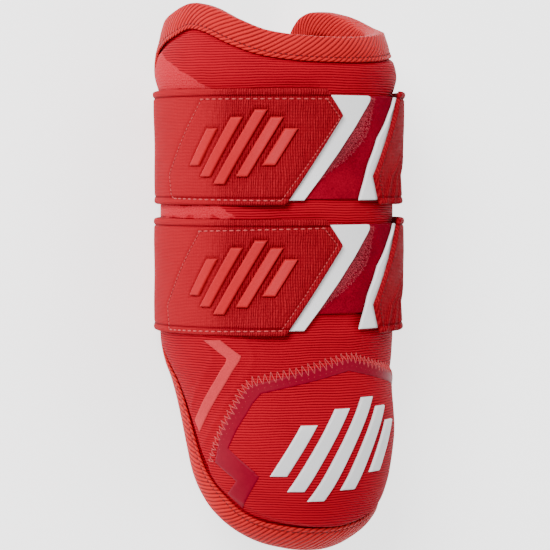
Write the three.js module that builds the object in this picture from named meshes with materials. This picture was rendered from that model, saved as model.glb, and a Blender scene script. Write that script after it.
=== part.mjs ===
// Baseball elbow guard: a padded shell for the forearm and the elbow, bound with tape,
// with a sewn elbow cup and two elastic straps. It lies on its open side, so +Z points
// out of the front of the pad, +Y runs up the arm and X goes across it.
// Lengths are millimetres. Angles are degrees round the arm from the crown, positive to +X.

import * as THREE from "three";

const { degToRad, lerp, smoothstep } = THREE.MathUtils;

// Driving dimensions
const halfLength = 119; // from the middle of the pad to its lobes and to the end of the cup
const halfWidth = 53; // of the pad's outside across the arm, where the straps lie
const halfDepth = 49; // of the pad's outside from its front to its back
const leftWrap = 132; // angle from the crown to the left free edge
const rightWrap = 140; // angle from the crown to the right free edge
const padThickness = 8;
const liningThickness = 1;
const tapeWidth = 9.5; // of each leg of the edge binding
const tapeThickness = 0.9;
const rimDrop = 2; // how far the binding squeezes the pad in, on each face
const rimRise = 6; // the stretch beside the binding where the pad swells again
const cupThickness = 1.6;
const filmThickness = 0.4;
const strapWidth = 50;
const strapThickness = 2;
const strapSpacing = 56; // between the middles of the two straps
const upperStrapPlace = 54.8; // from the middle of the pad to the upper strap's middle
const strapBend = 4; // the stretch over which a strap turns flat on its back
const patchThickness = 0.8;
const tabThickness = 1.6;
const tabUnderlap = 3.5; // degrees of a tab that lie under the strap
const markThickness = 0.9;
const strapMarkWidth = 44;
const strapMarkHeight = 32;
const cupMarkWidth = 56;
const cupMarkHeight = 43;
const clearance = 0.3;
const bindingGap = 1; // between the binding and the pad that it wraps
const liningGap = 1.3; // between the pad's inner face and the lining

// The right free edge clears the strap that passes below it.
const centreHeight = halfDepth * Math.cos(Math.PI - degToRad(rightWrap))
  + strapThickness + tapeThickness + strapBend / 2;

// The heights of the layers over the pad's skin.
const patchBase = 2 * clearance;
const tabBase = patchBase + patchThickness + clearance;
const strapLift = tabBase + tabThickness + 2 * clearance;
const strapGap = 0.8; // between a tight strap and the pad
const cupBase = 0.8;
const cupTop = cupBase + cupThickness;
const cupFilmBase = cupTop + 2 * clearance;
const padFilmBase = 2 * clearance;

// The shell's section along the arm: shares of halfLength, halfWidth, halfDepth and halfDepth.
const sections = [
  { along: -1.035, wide: 0.46, deep: 0.5, lift: 0.14 },
  { along: -0.96, wide: 0.67, deep: 0.7, lift: 0.14 },
  { along: -0.9, wide: 0.768, deep: 0.81, lift: 0.14 },
  { along: -0.82, wide: 0.812, deep: 0.872, lift: 0.14 },
  { along: -0.74, wide: 0.842, deep: 0.91, lift: 0.14 },
  { along: -0.65, wide: 0.862, deep: 0.925, lift: 0.137 },
  { along: -0.565, wide: 0.88, deep: 0.935, lift: 0.125 },
  { along: -0.5, wide: 0.892, deep: 0.94, lift: 0.107 },
  { along: -0.44, wide: 0.905, deep: 0.945, lift: 0.082 },
  { along: -0.39, wide: 0.925, deep: 0.957, lift: 0.056 },
  { along: -0.34, wide: 0.962, deep: 0.978, lift: 0.03 },
  { along: -0.28, wide: 0.99, deep: 0.994, lift: 0.006 },
  { along: -0.24, wide: 1, deep: 1, lift: 0 },
  { along: -0.15, wide: 1, deep: 1, lift: 0 },
  { along: 0.6, wide: 1, deep: 1, lift: 0 },
  { along: 0.66, wide: 1.005, deep: 1.005, lift: 0 },
  { along: 0.73, wide: 1.045, deep: 1.04, lift: 0 },
  { along: 0.8, wide: 1.035, deep: 1.03, lift: 0 },
  { along: 0.87, wide: 0.992, deep: 0.992, lift: 0 },
  { along: 1, wide: 0.966, deep: 0.966, lift: 0 },
];

// The free edge: side is a share of the wrap to that side, height a share of halfLength.
const topEdge = [
  { side: -1, height: 0.7 },
  { side: -0.975, height: 0.79 },
  { side: -0.93, height: 0.87 },
  { side: -0.86, height: 0.908 },
  { side: -0.72, height: 0.948 },
  { side: -0.606, height: 0.973 },
  { side: -0.508, height: 0.957 },
  { side: -0.39, height: 0.91 },
  { side: -0.273, height: 0.869 },
  { side: 0, height: 0.849 },
  { side: 0.321, height: 0.876 },
  { side: 0.55, height: 0.906 },
  { side: 0.736, height: 0.962 },
  { side: 0.829, height: 0.978 },
  { side: 0.9, height: 0.972 },
  { side: 0.945, height: 0.938 },
  { side: 0.98, height: 0.87 },
  { side: 1, height: 0.77 },
];
const bottomEdge = [
  { side: -1, height: -0.26 },
  { side: -0.975, height: -0.34 },
  { side: -0.93, height: -0.4 },
  { side: -0.85, height: -0.508 },
  { side: -0.742, height: -0.744 },
  { side: -0.576, height: -0.897 },
  { side: -0.447, height: -0.967 },
  { side: -0.265, height: -1.003 },
  { side: -0.068, height: -1.016 },
  { side: 0.107, height: -1.012 },
  { side: 0.286, height: -0.982 },
  { side: 0.414, height: -0.924 },
  { side: 0.629, height: -0.744 },
  { side: 0.78, height: -0.508 },
  { side: 0.907, height: -0.4 },
  { side: 0.97, height: -0.34 },
  { side: 1, height: -0.26 },
];

// The strap's pointed end and its anchored end: across is a share of strapWidth from its
// bottom edge, turn an angle from the crown.
const strapTip = [
  { across: 0, turn: -28.2 },
  { across: 0.77, turn: -1.6 },
  { across: 1, turn: -9.7 },
];
const strapAnchor = [
  { across: 0, turn: 21.7 },
  { across: 0.25, turn: 17.2 },
  { across: 1, turn: 42.5 },
];
const tabEdge = [
  { across: 0, turn: -21.1 },
  { across: 1, turn: 20.1 },
];
const anchorTabEdge = [
  { across: 0, turn: 8.5 },
  { across: 0.5, turn: 18.5 },
  { across: 1, turn: 40.5 },
];

// The cup's seam, from its left corner over the crown to its right corner.
const cupSeam = [
  { turn: -81, height: -0.7 },
  { turn: -72, height: -0.587 },
  { turn: -58, height: -0.454 },
  { turn: -50, height: -0.39 },
  { turn: -42, height: -0.37 },
  { turn: -22, height: -0.341 },
  { turn: 0, height: -0.301 },
  { turn: 7, height: -0.298 },
  { turn: 22, height: -0.327 },
  { turn: 50, height: -0.37 },
  { turn: 62, height: -0.42 },
  { turn: 72, height: -0.52 },
  { turn: 82, height: -0.66 },
];

// The crimson film on the cup: its two edges, from the chevron's foot to its far end.
const cupFilm = [
  { outerTurn: -67.3, outerHeight: -0.797, innerTurn: -59.6, innerHeight: -0.857 },
  { outerTurn: -60.7, outerHeight: -0.746, innerTurn: -47.2, innerHeight: -0.725 },
  { outerTurn: -74, outerHeight: -0.685, innerTurn: -63.9, innerHeight: -0.629 },
  { outerTurn: -68, outerHeight: -0.57, innerTurn: -58, innerHeight: -0.56 },
  { outerTurn: -56, outerHeight: -0.455, innerTurn: -48, innerHeight: -0.465 },
  { outerTurn: -48, outerHeight: -0.398, innerTurn: -43, innerHeight: -0.43 },
  { outerTurn: -22, outerHeight: -0.353, innerTurn: -21, innerHeight: -0.395 },
  { outerTurn: 3, outerHeight: -0.312, innerTurn: 3, innerHeight: -0.354 },
  { outerTurn: 22, outerHeight: -0.34, innerTurn: 20, innerHeight: -0.38 },
  { outerTurn: 50, outerHeight: -0.384, innerTurn: 48, innerHeight: -0.424 },
];

// The coral film on the pad: its two edges, from the lower strap down to the binding. Down is
// a share of the way from the strap's bottom edge to the film's foot.
const padFilm = [
  { outerTurn: -59.4, outerDown: 0.056, innerTurn: -68.7, innerDown: 0.062 },
  { outerTurn: -48.7, outerDown: 0.211, innerTurn: -56.5, innerDown: 0.241 },
  { outerTurn: -86.5, outerDown: 1, innerTurn: -89.8, innerDown: 0.879 },
];
const padFilmFoot = -0.584; // share of halfLength

// Each raised mark is five slanted bars: shares of the mark's width and height.
const markBars = [
  { centre: -0.4, length: 0.5 },
  { centre: -0.2, length: 0.8 },
  { centre: 0, length: 1 },
  { centre: 0.2, length: 0.8 },
  { centre: 0.4, length: 0.5 },
];
const barWidth = 0.125; // share of the mark's width
const barSlant = 0.22; // sideways lean at each end, as a share of the mark's width
const strapMarkTurn = -49;
const cupMarkTurn = -1;
const cupMarkPlace = -0.635; // share of halfLength

const finishes = {
  ribbedCloth: new THREE.MeshStandardMaterial({ color: 0xcc0a1e, roughness: 0.8 }),
  lining: new THREE.MeshStandardMaterial({ color: 0x17131a, roughness: 0.9 }),
  tape: new THREE.MeshStandardMaterial({ color: 0xe8463f, roughness: 0.7 }),
  elastic: new THREE.MeshStandardMaterial({ color: 0xcf2233, roughness: 0.85 }),
  whiteRubber: new THREE.MeshStandardMaterial({ color: 0xe6e6e8, roughness: 0.45 }),
  loopCloth: new THREE.MeshStandardMaterial({ color: 0x9c0016, roughness: 0.9 }),
  coralFilm: new THREE.MeshStandardMaterial({ color: 0xe2565a, roughness: 0.6 }),
  crimsonFilm: new THREE.MeshStandardMaterial({ color: 0xa00028, roughness: 0.6 }),
  coralRubber: new THREE.MeshStandardMaterial({ color: 0xe65a5a, roughness: 0.5 }),
  greyRubber: new THREE.MeshStandardMaterial({ color: 0xc8c8ca, roughness: 0.45 }),
};

/** A smooth curve through the rows of a table, giving the named columns at a place. */
function smoothTable(rows, place, columns) {
  const places = rows.map((row) => row[place]);
  const values = rows.flatMap((row) => columns.map((column) => row[column]));
  const curve = new THREE.CubicInterpolant(places, values, columns.length);
  return (at) => [...curve.evaluate(at)];
}

/** Straight lines through the rows of a table, giving one column at a place. */
function straightTable(rows, place, column) {
  const places = rows.map((row) => row[place]);
  const curve = new THREE.LinearInterpolant(places, rows.map((row) => row[column]), 1);
  return (at) => curve.evaluate(at)[0];
}

/** Shares from 0 to 1, closer together at the ends by the crowding given. */
function shares(count, crowding = 0) {
  return Array.from({ length: count + 1 }, (_, step) => {
    const even = step / count;
    return lerp(even, (1 - Math.cos(Math.PI * even)) / 2, crowding);
  });
}

const sectionAt = smoothTable(sections, "along", ["wide", "deep", "lift"]);
const topAt = smoothTable(topEdge, "side", ["height"]);
const bottomAt = smoothTable(bottomEdge, "side", ["height"]);

/** A point of the pad's skin, before it swells or is squeezed. */
function skinPoint(turn, y) {
  const [wide, deep, lift] = sectionAt(y / halfLength);
  const angle = degToRad(turn);
  return new THREE.Vector3(
    wide * halfWidth * Math.sin(angle),
    y,
    centreHeight + lift * halfDepth + deep * halfDepth * Math.cos(angle),
  );
}

/** A point at a height over the pad's skin, or under it where the height is negative. */
function shellPoint(turn, y, height) {
  const nudge = 0.5;
  const across = skinPoint(turn + nudge, y).sub(skinPoint(turn - nudge, y));
  const along = skinPoint(turn, y + nudge).sub(skinPoint(turn, y - nudge));
  return skinPoint(turn, y).addScaledVector(across.cross(along).normalize(), height);
}

/** The greater of two values, with the corner between them rounded. */
function roundedMax(a, b, reach) {
  const near = Math.max(reach - Math.abs(a - b), 0) / reach;
  return Math.max(a, b) + (near * near * reach) / 4;
}

/** A closed body from grid rows of points: the outer face, the inner face and the rim. */
function sheetMesh(name, finish, columns, rows, outer, inner) {
  const positions = [];
  for (const face of [outer, inner]) {
    for (const s of columns) {
      for (const t of rows) {
        positions.push(...face(s, t).toArray());
      }
    }
  }
  const stride = rows.length;
  const innerStart = columns.length * stride;
  const lastColumn = (columns.length - 1) * stride;
  const faces = [];
  const quad = (a, b, c, d) => faces.push(a, b, c, a, c, d);
  for (let i = 0; i + 1 < columns.length; i++) {
    const left = i * stride;
    const right = left + stride;
    for (let j = 0; j + 1 < stride; j++) {
      quad(left + j, right + j, right + j + 1, left + j + 1);
      quad(innerStart + left + j + 1, innerStart + right + j + 1, innerStart + right + j, innerStart + left + j);
    }
    const end = stride - 1;
    quad(innerStart + left, innerStart + right, right, left);
    quad(left + end, right + end, innerStart + right + end, innerStart + left + end);
  }
  for (let j = 0; j + 1 < stride; j++) {
    quad(j, j + 1, innerStart + j + 1, innerStart + j);
    const near = lastColumn + j;
    quad(innerStart + near, innerStart + near + 1, near + 1, near);
  }
  return meshOf(name, finish, positions, faces);
}

/** A closed ring swept through stations that each give one section of points. */
function ringMesh(name, finish, stations) {
  const positions = stations.flatMap((section) => section.flatMap((point) => point.toArray()));
  const size = stations[0].length;
  const faces = [];
  stations.forEach((_, i) => {
    const here = i * size;
    const next = ((i + 1) % stations.length) * size;
    for (let j = 0; j < size; j++) {
      const k = (j + 1) % size;
      faces.push(here + j, next + k, next + j, here + j, here + k, next + k);
    }
  });
  return meshOf(name, finish, positions, faces);
}

function meshOf(name, finish, positions, faces) {
  const geometry = new THREE.BufferGeometry();
  geometry.setAttribute("position", new THREE.Float32BufferAttribute(positions, 3));
  geometry.setIndex(faces);
  geometry.computeVertexNormals();
  const mesh = new THREE.Mesh(geometry, finish);
  mesh.name = name;
  return mesh;
}

// The pad's grid: columns round the arm, and rows from the bottom edge to the top edge.
const columnShares = shares(40, 0.5);
const rowShares = shares(20, 0.45);

/** The angle and the height of a place on the pad, from its shares across and along. */
function padPlace(s, t) {
  const turn = lerp(-leftWrap, rightWrap, s);
  const side = turn / (turn < 0 ? leftWrap : rightWrap);
  return { turn, y: lerp(bottomAt(side)[0], topAt(side)[0], t) * halfLength };
}

/** The places along the free edge, anticlockwise seen from outside. */
function edgePlaces() {
  const along = [
    ...columnShares.map((s) => [s, 0]),
    ...rowShares.slice(1).map((t) => [1, t]),
    ...columnShares.slice(0, -1).reverse().map((s) => [s, 1]),
    ...rowShares.slice(1, -1).reverse().map((t) => [0, t]),
  ];
  return along.map(([s, t]) => padPlace(s, t));
}

/** A place as a flat point: millimetres round the skin and along the arm. */
function flatPoint({ turn, y }) {
  return new THREE.Vector2(degToRad(turn) * halfWidth * sectionAt(y / halfLength)[0], y);
}

const edge = edgePlaces();
const flatEdge = edge.map(flatPoint);

/** The directions that point in from the free edge, each eased with its neighbours. */
function inwardDirections() {
  const count = flatEdge.length;
  const wrap = (i) => (i + count) % count;
  let directions = flatEdge.map((_, i) => {
    const run = flatEdge[wrap(i + 1)].clone().sub(flatEdge[wrap(i - 1)]);
    return new THREE.Vector2(-run.y, run.x).normalize();
  });
  const passes = 4;
  for (let pass = 0; pass < passes; pass++) {
    directions = directions.map((direction, i) => direction.clone().multiplyScalar(2)
      .add(directions[wrap(i - 1)]).add(directions[wrap(i + 1)]).normalize());
  }
  return directions;
}

const inward = inwardDirections();

/** The place at a distance in from station i of the free edge. */
function insetPlace(i, distance) {
  const { turn, y } = edge[i];
  const wide = halfWidth * sectionAt(y / halfLength)[0];
  return {
    turn: turn + THREE.MathUtils.radToDeg((inward[i].x * distance) / wide),
    y: y + inward[i].y * distance,
  };
}

/** How far a place lies in from the free edge. */
function edgeDistance(place) {
  const point = flatPoint(place);
  let nearest = Infinity;
  flatEdge.forEach((start, i) => {
    const run = flatEdge[(i + 1) % flatEdge.length].clone().sub(start);
    const away = point.clone().sub(start);
    const share = THREE.MathUtils.clamp(away.dot(run) / run.lengthSq(), 0, 1);
    nearest = Math.min(nearest, away.sub(run.multiplyScalar(share)).length());
  });
  return nearest;
}

/** How far the pad's faces are squeezed in at a place: the full drop under the binding. */
function squeeze(place) {
  const start = tapeWidth + rimRise / 2;
  return rimDrop * (1 - smoothstep(edgeDistance(place), start, start + rimRise));
}

function mainPad() {
  const face = (height, sign) => (s, t) => {
    const place = padPlace(s, t);
    return shellPoint(place.turn, place.y, height - sign * squeeze(place));
  };
  return sheetMesh("main_pad", finishes.ribbedCloth, columnShares, rowShares,
    face(0, 1), face(-padThickness, -1));
}

/** A place between the inset bottom edge and the inset top edge, by column and share. */
function liningPlace(column, t, inset) {
  const columns = columnShares.length;
  const bottom = insetPlace(column, inset);
  const top = insetPlace(2 * columns + rowShares.length - 3 - column, inset);
  return { turn: lerp(bottom.turn, top.turn, t), y: lerp(bottom.y, top.y, t) };
}

function lining() {
  const inset = tapeWidth + 2;
  const columns = columnShares.length - 1;
  const face = (height) => (s, t) => {
    const place = liningPlace(Math.round(s * columns), t, inset);
    return shellPoint(place.turn, place.y, height + squeeze(place));
  };
  const outside = -padThickness - liningGap;
  const everySecond = columnShares.map((_, i) => i / columns).filter((_, i) => i % 2 === 0);
  return sheetMesh("lining", finishes.lining, everySecond, shares(18, 0.4),
    face(outside), face(outside - liningThickness));
}

/** The binding's folded section: how far in from the edge and how high over the skin. */
function tapeSection() {
  const over = bindingGap - rimDrop;
  const under = rimDrop - padThickness - bindingGap;
  const outerOver = over + tapeThickness;
  const outerUnder = under - tapeThickness;
  return [
    [tapeWidth, over],
    [tapeWidth, outerOver],
    [-bindingGap, outerOver],
    [-bindingGap - tapeThickness, (over + under) / 2],
    [-bindingGap, outerUnder],
    [tapeWidth, outerUnder],
    [tapeWidth, under],
    [-bindingGap, under],
    [-bindingGap, over],
  ];
}

function edgeBinding() {
  const section = tapeSection();
  const stations = edge.map((_, i) => section.map(([distance, height]) => {
    const place = insetPlace(i, distance);
    return shellPoint(place.turn, place.y, height);
  }));
  return ringMesh("edge_binding", finishes.tape, stations);
}

/** A table's curve by share of its rows instead of by a place. */
function alongRows(rows, columns) {
  const numbered = rows.map((row, i) => ({ ...row, share: i / (rows.length - 1) }));
  return smoothTable(numbered, "share", columns);
}

/** The share of the bottom edge's columns at an angle. */
function columnAt(turn) {
  return (turn + leftWrap) / (leftWrap + rightWrap);
}

/** The inset bottom edge of the cup, by its share from the left corner to the right one. */
function cupFoot(s) {
  const first = columnShares.findIndex((share) => share > columnAt(-88));
  const last = columnShares.findIndex((share) => share > columnAt(76));
  const at = lerp(first, last, s);
  const low = Math.min(Math.floor(at), last - 1);
  const inset = tapeWidth + 1;
  const a = insetPlace(low, inset);
  const b = insetPlace(low + 1, inset);
  return { turn: lerp(a.turn, b.turn, at - low), y: lerp(a.y, b.y, at - low) };
}

const seamAt = alongRows(cupSeam, ["turn", "height"]);

function elbowCup() {
  const face = (height) => (s, t) => {
    const foot = cupFoot(s);
    const [turn, seam] = seamAt(s);
    const place = { turn: lerp(foot.turn, turn, t), y: lerp(foot.y, seam * halfLength, t) };
    return shellPoint(place.turn, place.y, height);
  };
  return sheetMesh("elbow_cup", finishes.ribbedCloth, shares(20), shares(8),
    face(cupTop), face(cupBase));
}

/** A film laid at a height over the skin, between the two edges that its table gives. */
function filmMesh(name, finish, rows, steps, base) {
  const edges = ["outer", "inner"].map((edgeName) => [
    straightTable(rows.map((row, i) => ({ i, v: row[`${edgeName}Turn`] })), "i", "v"),
    straightTable(rows.map((row, i) => ({ i, v: row[`${edgeName}Height`] })), "i", "v"),
  ]);
  const face = (height) => (s, t) => {
    const at = s * (rows.length - 1);
    const [[outerTurn, outerHeight], [innerTurn, innerHeight]] = edges;
    const turn = lerp(innerTurn(at), outerTurn(at), t);
    const y = lerp(innerHeight(at), outerHeight(at), t) * halfLength;
    return shellPoint(turn, y, height);
  };
  return sheetMesh(name, finish, shares(steps * (rows.length - 1)), shares(3),
    face(base + filmThickness), face(base));
}

/** The pad film's rows, with their heights worked out from the lower strap and the foot. */
function padFilmRows() {
  const strapFoot = (upperStrapPlace - strapSpacing - strapWidth / 2) / halfLength;
  const heightAt = (down) => lerp(strapFoot, padFilmFoot, down);
  return padFilm.map(({ outerDown, innerDown, ...turns }) => ({
    ...turns, outerHeight: heightAt(outerDown), innerHeight: heightAt(innerDown),
  }));
}

/** One elastic strap with its tabs, its loop patch and its raised mark. */
class Strap {
  constructor(prefix, middle) {
    this.prefix = prefix;
    this.foot = middle - strapWidth / 2;
    this.tip = straightTable(strapTip, "across", "turn");
    this.anchor = straightTable(strapAnchor, "across", "turn");
  }

  /** How high the strap's inner face lies over the skin: it rises over the tabs. */
  rise(turn, across) {
    const fromTip = this.tip(across) - turn;
    const fromAnchor = turn + 360 - this.anchor(across);
    const overTip = 1 - smoothstep(fromTip, 7, 34);
    const overAnchor = 1 - smoothstep(fromAnchor, 12, 62);
    return lerp(strapGap, strapLift, Math.max(overTip, overAnchor));
  }

  /** A point at a height over the strap's inner face, flat where the strap's back rests. */
  point(turn, across, height) {
    const y = this.foot + across * strapWidth;
    const point = shellPoint(turn, y, this.rise(turn, across) + height);
    point.y = y;
    point.z = roundedMax(point.z, strapThickness - height, strapBend);
    return point;
  }

  /** The strap's angle at a share of its length, slanted only near its two ends. */
  turnAt(s, across) {
    const slant = 0.3;
    const middle = 0.5;
    const even = lerp(this.anchor(middle) - 360, this.tip(middle), s);
    const nearTip = Math.max(s - 1 + slant, 0) / slant;
    const nearAnchor = Math.max(slant - s, 0) / slant;
    return even + nearTip * (this.tip(across) - this.tip(middle))
      + nearAnchor * (this.anchor(across) - this.anchor(middle));
  }

  band() {
    const face = (height) => (s, across) => this.point(this.turnAt(s, across), across, height);
    return sheetMesh(`${this.prefix}_strap`, finishes.elastic, shares(46),
      [0, 0.25, 0.5, 0.77, 1], face(strapThickness), face(0));
  }

  /** A flat piece laid over the skin between two edges that run across the strap. */
  plate(name, finish, left, right, rows, base, thickness) {
    const face = (height) => (s, across) => shellPoint(
      lerp(left(across), right(across), s), this.foot + across * strapWidth, height);
    return sheetMesh(`${this.prefix}_${name}`, finish, shares(7), rows,
      face(base + thickness), face(base));
  }

  pieces() {
    const tabReach = straightTable(tabEdge, "across", "turn");
    const anchorReach = straightTable(anchorTabEdge, "across", "turn");
    const under = (edgeTurn, degrees) => (across) => edgeTurn(across) + degrees;
    const rows = [0.04, 0.25, 0.5, 0.77, 0.95];
    return [
      this.band(),
      this.plate("loop_patch", finishes.loopCloth, under(this.tip, -2 * tabUnderlap),
        under(this.anchor, 2 * tabUnderlap), rows, patchBase, patchThickness),
      this.plate("strap_tab", finishes.whiteRubber, under(this.tip, -tabUnderlap),
        tabReach, rows, tabBase, tabThickness),
      this.plate("anchor_tab", finishes.whiteRubber, anchorReach,
        under(this.anchor, tabUnderlap), rows, tabBase, tabThickness),
      ...markMeshes(`${this.prefix}_mark`, finishes.coralRubber, strapMarkWidth,
        strapMarkHeight, (x, y, height) => this.markPoint(x, y, height)),
    ];
  }

  markPoint(x, y, height) {
    const turn = strapMarkTurn + THREE.MathUtils.radToDeg(x / halfWidth);
    return this.point(turn, 0.5 + y / strapWidth, strapThickness + height);
  }
}

/** The five slanted bars of a raised mark, laid on the surface that the function gives. */
function markMeshes(name, finish, width, height, surface) {
  return markBars.map(({ centre, length }, i) => {
    const face = (over) => (s, t) => {
      const up = (t - 0.5) * length;
      const x = (centre + up * 2 * barSlant + (s - 0.5) * barWidth) * width;
      return surface(x, up * height, over);
    };
    return sheetMesh(`${name}_${i + 1}`, finish, shares(1), shares(5),
      face(clearance + markThickness), face(clearance));
  });
}

function cupMarkPoint(x, y, height) {
  const along = cupMarkPlace * halfLength + y;
  const wide = halfWidth * sectionAt(along / halfLength)[0];
  const turn = cupMarkTurn + THREE.MathUtils.radToDeg(x / wide);
  return shellPoint(turn, along, cupTop + height);
}

function elbowGuard() {
  const guard = new THREE.Group();
  guard.add(
    mainPad(),
    lining(),
    edgeBinding(),
    elbowCup(),
    filmMesh("cup_film", finishes.crimsonFilm, cupFilm, 2, cupFilmBase),
    filmMesh("pad_film", finishes.coralFilm, padFilmRows(), 4, padFilmBase),
    ...new Strap("upper", upperStrapPlace).pieces(),
    ...new Strap("lower", upperStrapPlace - strapSpacing).pieces(),
    ...markMeshes("cup_mark", finishes.greyRubber, cupMarkWidth, cupMarkHeight, cupMarkPoint),
  );
  return guard;
}

/** Puts the part's origin at the bottom centre of its box. */
function standAtOrigin(guard) {
  const box = new THREE.Box3().setFromObject(guard, true);
  const centre = box.getCenter(new THREE.Vector3());
  guard.position.set(-centre.x, -centre.y, -box.min.z);
  return guard;
}

export default standAtOrigin(elbowGuard());
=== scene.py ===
"""A baseball elbow guard: a padded forearm shell with a sewn elbow cup and two elastic straps.

Lengths are millimetres and angles are degrees until a mesh is made, which turns the lengths into
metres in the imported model's frame. Angles go round the arm from the crown, positive to +X.
"""
import logging
import math
from collections.abc import Callable, Sequence
from dataclasses import dataclass, field
from enum import Enum
from functools import cached_property

import bpy
import numpy as np
from mathutils import Matrix, Vector
from mathutils.kdtree import KDTree


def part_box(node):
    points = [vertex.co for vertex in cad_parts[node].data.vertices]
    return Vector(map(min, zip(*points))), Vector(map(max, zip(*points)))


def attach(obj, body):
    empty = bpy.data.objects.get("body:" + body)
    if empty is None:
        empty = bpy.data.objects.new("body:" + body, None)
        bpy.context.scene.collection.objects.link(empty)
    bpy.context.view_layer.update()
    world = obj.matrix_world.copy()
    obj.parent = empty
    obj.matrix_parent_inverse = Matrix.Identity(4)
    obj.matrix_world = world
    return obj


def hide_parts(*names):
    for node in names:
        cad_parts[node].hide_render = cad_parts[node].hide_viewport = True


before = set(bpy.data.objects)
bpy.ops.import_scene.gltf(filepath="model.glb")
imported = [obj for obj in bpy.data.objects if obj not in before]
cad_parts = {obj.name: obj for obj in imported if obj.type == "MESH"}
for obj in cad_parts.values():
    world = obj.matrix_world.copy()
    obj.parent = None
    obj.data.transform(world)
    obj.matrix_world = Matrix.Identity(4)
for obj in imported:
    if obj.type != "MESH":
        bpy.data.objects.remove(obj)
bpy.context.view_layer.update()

Array = np.ndarray
Surface = Callable[[Array, Array, Array], Array]
Colour = tuple[float, float, float]

log = logging.getLogger("elbow_guard")
BODY = "root"
MM = 0.001

# The shell's section along the arm: place as a share of half the length, then the half width,
# the half depth and the lift of the middle as shares of the form's own sizes.
SECTIONS = (
    (-1.035, 0.46, 0.5, 0.14),
    (-0.96, 0.67, 0.7, 0.14),
    (-0.9, 0.768, 0.81, 0.14),
    (-0.82, 0.812, 0.872, 0.14),
    (-0.74, 0.842, 0.91, 0.14),
    (-0.65, 0.862, 0.925, 0.137),
    (-0.565, 0.88, 0.935, 0.125),
    (-0.5, 0.892, 0.94, 0.107),
    (-0.44, 0.905, 0.945, 0.082),
    (-0.39, 0.925, 0.957, 0.056),
    (-0.34, 0.962, 0.978, 0.03),
    (-0.28, 0.99, 0.994, 0.006),
    (-0.24, 1.0, 1.0, 0.0),
    (-0.15, 1.0, 1.0, 0.0),
    (0.6, 1.0, 1.0, 0.0),
    (0.66, 1.005, 1.005, 0.0),
    (0.73, 1.045, 1.04, 0.0),
    (0.8, 1.035, 1.03, 0.0),
    (0.87, 0.992, 0.992, 0.0),
    (1.0, 0.966, 0.966, 0.0),
)
# The free edges: side as a share of the wrap to that side, height as a share of half the length.
TOP_EDGE = (
    (-1, 0.7), (-0.975, 0.79), (-0.93, 0.87), (-0.86, 0.908), (-0.72, 0.948), (-0.606, 0.973),
    (-0.508, 0.957), (-0.39, 0.91), (-0.273, 0.869), (0, 0.849), (0.321, 0.876), (0.55, 0.906),
    (0.736, 0.962), (0.829, 0.978), (0.9, 0.972), (0.945, 0.938), (0.98, 0.87), (1, 0.77),
)
BOTTOM_EDGE = (
    (-1, -0.26), (-0.975, -0.34), (-0.93, -0.4), (-0.85, -0.508), (-0.742, -0.744),
    (-0.576, -0.897), (-0.447, -0.967), (-0.265, -1.003), (-0.068, -1.016), (0.107, -1.012),
    (0.286, -0.982), (0.414, -0.924), (0.629, -0.744), (0.78, -0.508), (0.907, -0.4),
    (0.97, -0.34), (1, -0.26),
)
# The cup's seam, from its left corner to its right corner: angle, then height as above.
CUP_SEAM = (
    (-81, -0.7), (-72, -0.587), (-58, -0.454), (-50, -0.39), (-42, -0.37), (-22, -0.341),
    (0, -0.301), (7, -0.298), (22, -0.327), (50, -0.37), (62, -0.42), (72, -0.52), (82, -0.66),
)

# The straps' reach along the arm: each one's bottom edge and its top edge.
STRAP_SPANS = ((29.8, 79.8), (-26.2, 23.8))
# The solid pad's rim: how far each face is drawn in at the free edge, and the distances in from
# the edge between which that ends.
SOLID_RIM = (2.0, 12.5, 18.5)


def lerp(a: Array | float, b: Array | float, share: Array | float) -> Array:
    """Go from a to b by a share."""
    return a + (b - a) * share


def smoothstep(at: Array, low: float, high: float) -> Array:
    """Rise smoothly from 0 at the low value to 1 at the high one."""
    share = np.clip((at - low) / (high - low), 0, 1)
    return share * share * (3 - 2 * share)


def ridge(at: Array, middle: float, half: float) -> Array:
    """Rise to 1 at the middle and fall to 0 at half a width to each side."""
    return 1 - smoothstep(np.abs(at - middle), 0, half)


def shares(count: int, crowding: float = 0.0) -> Array:
    """Give shares from 0 to 1 that lie closer together at the ends.

    Args:
        count: the number of steps.
        crowding: 0 for even steps, 1 for a full crowding.

    Returns:
        One more share than there are steps.
    """
    even = np.linspace(0, 1, count + 1)
    return lerp(even, (1 - np.cos(np.pi * even)) / 2, crowding)


def rounded_rim(away: Array, radius: float) -> Array:
    """Rise from 0 at a rim to 1 at a radius in from it, as a quarter of a circle does."""
    return np.sqrt(np.clip(1 - (1 - np.clip(away / radius, 0, 1)) ** 2, 0, 1))


def rounded_max(a: Array, b: Array, reach: float) -> Array:
    """Give the greater of two values, with the corner between them rounded over a reach."""
    near = np.maximum(reach - np.abs(a - b), 0) / reach
    return np.maximum(a, b) + near * near * reach / 4


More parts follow.
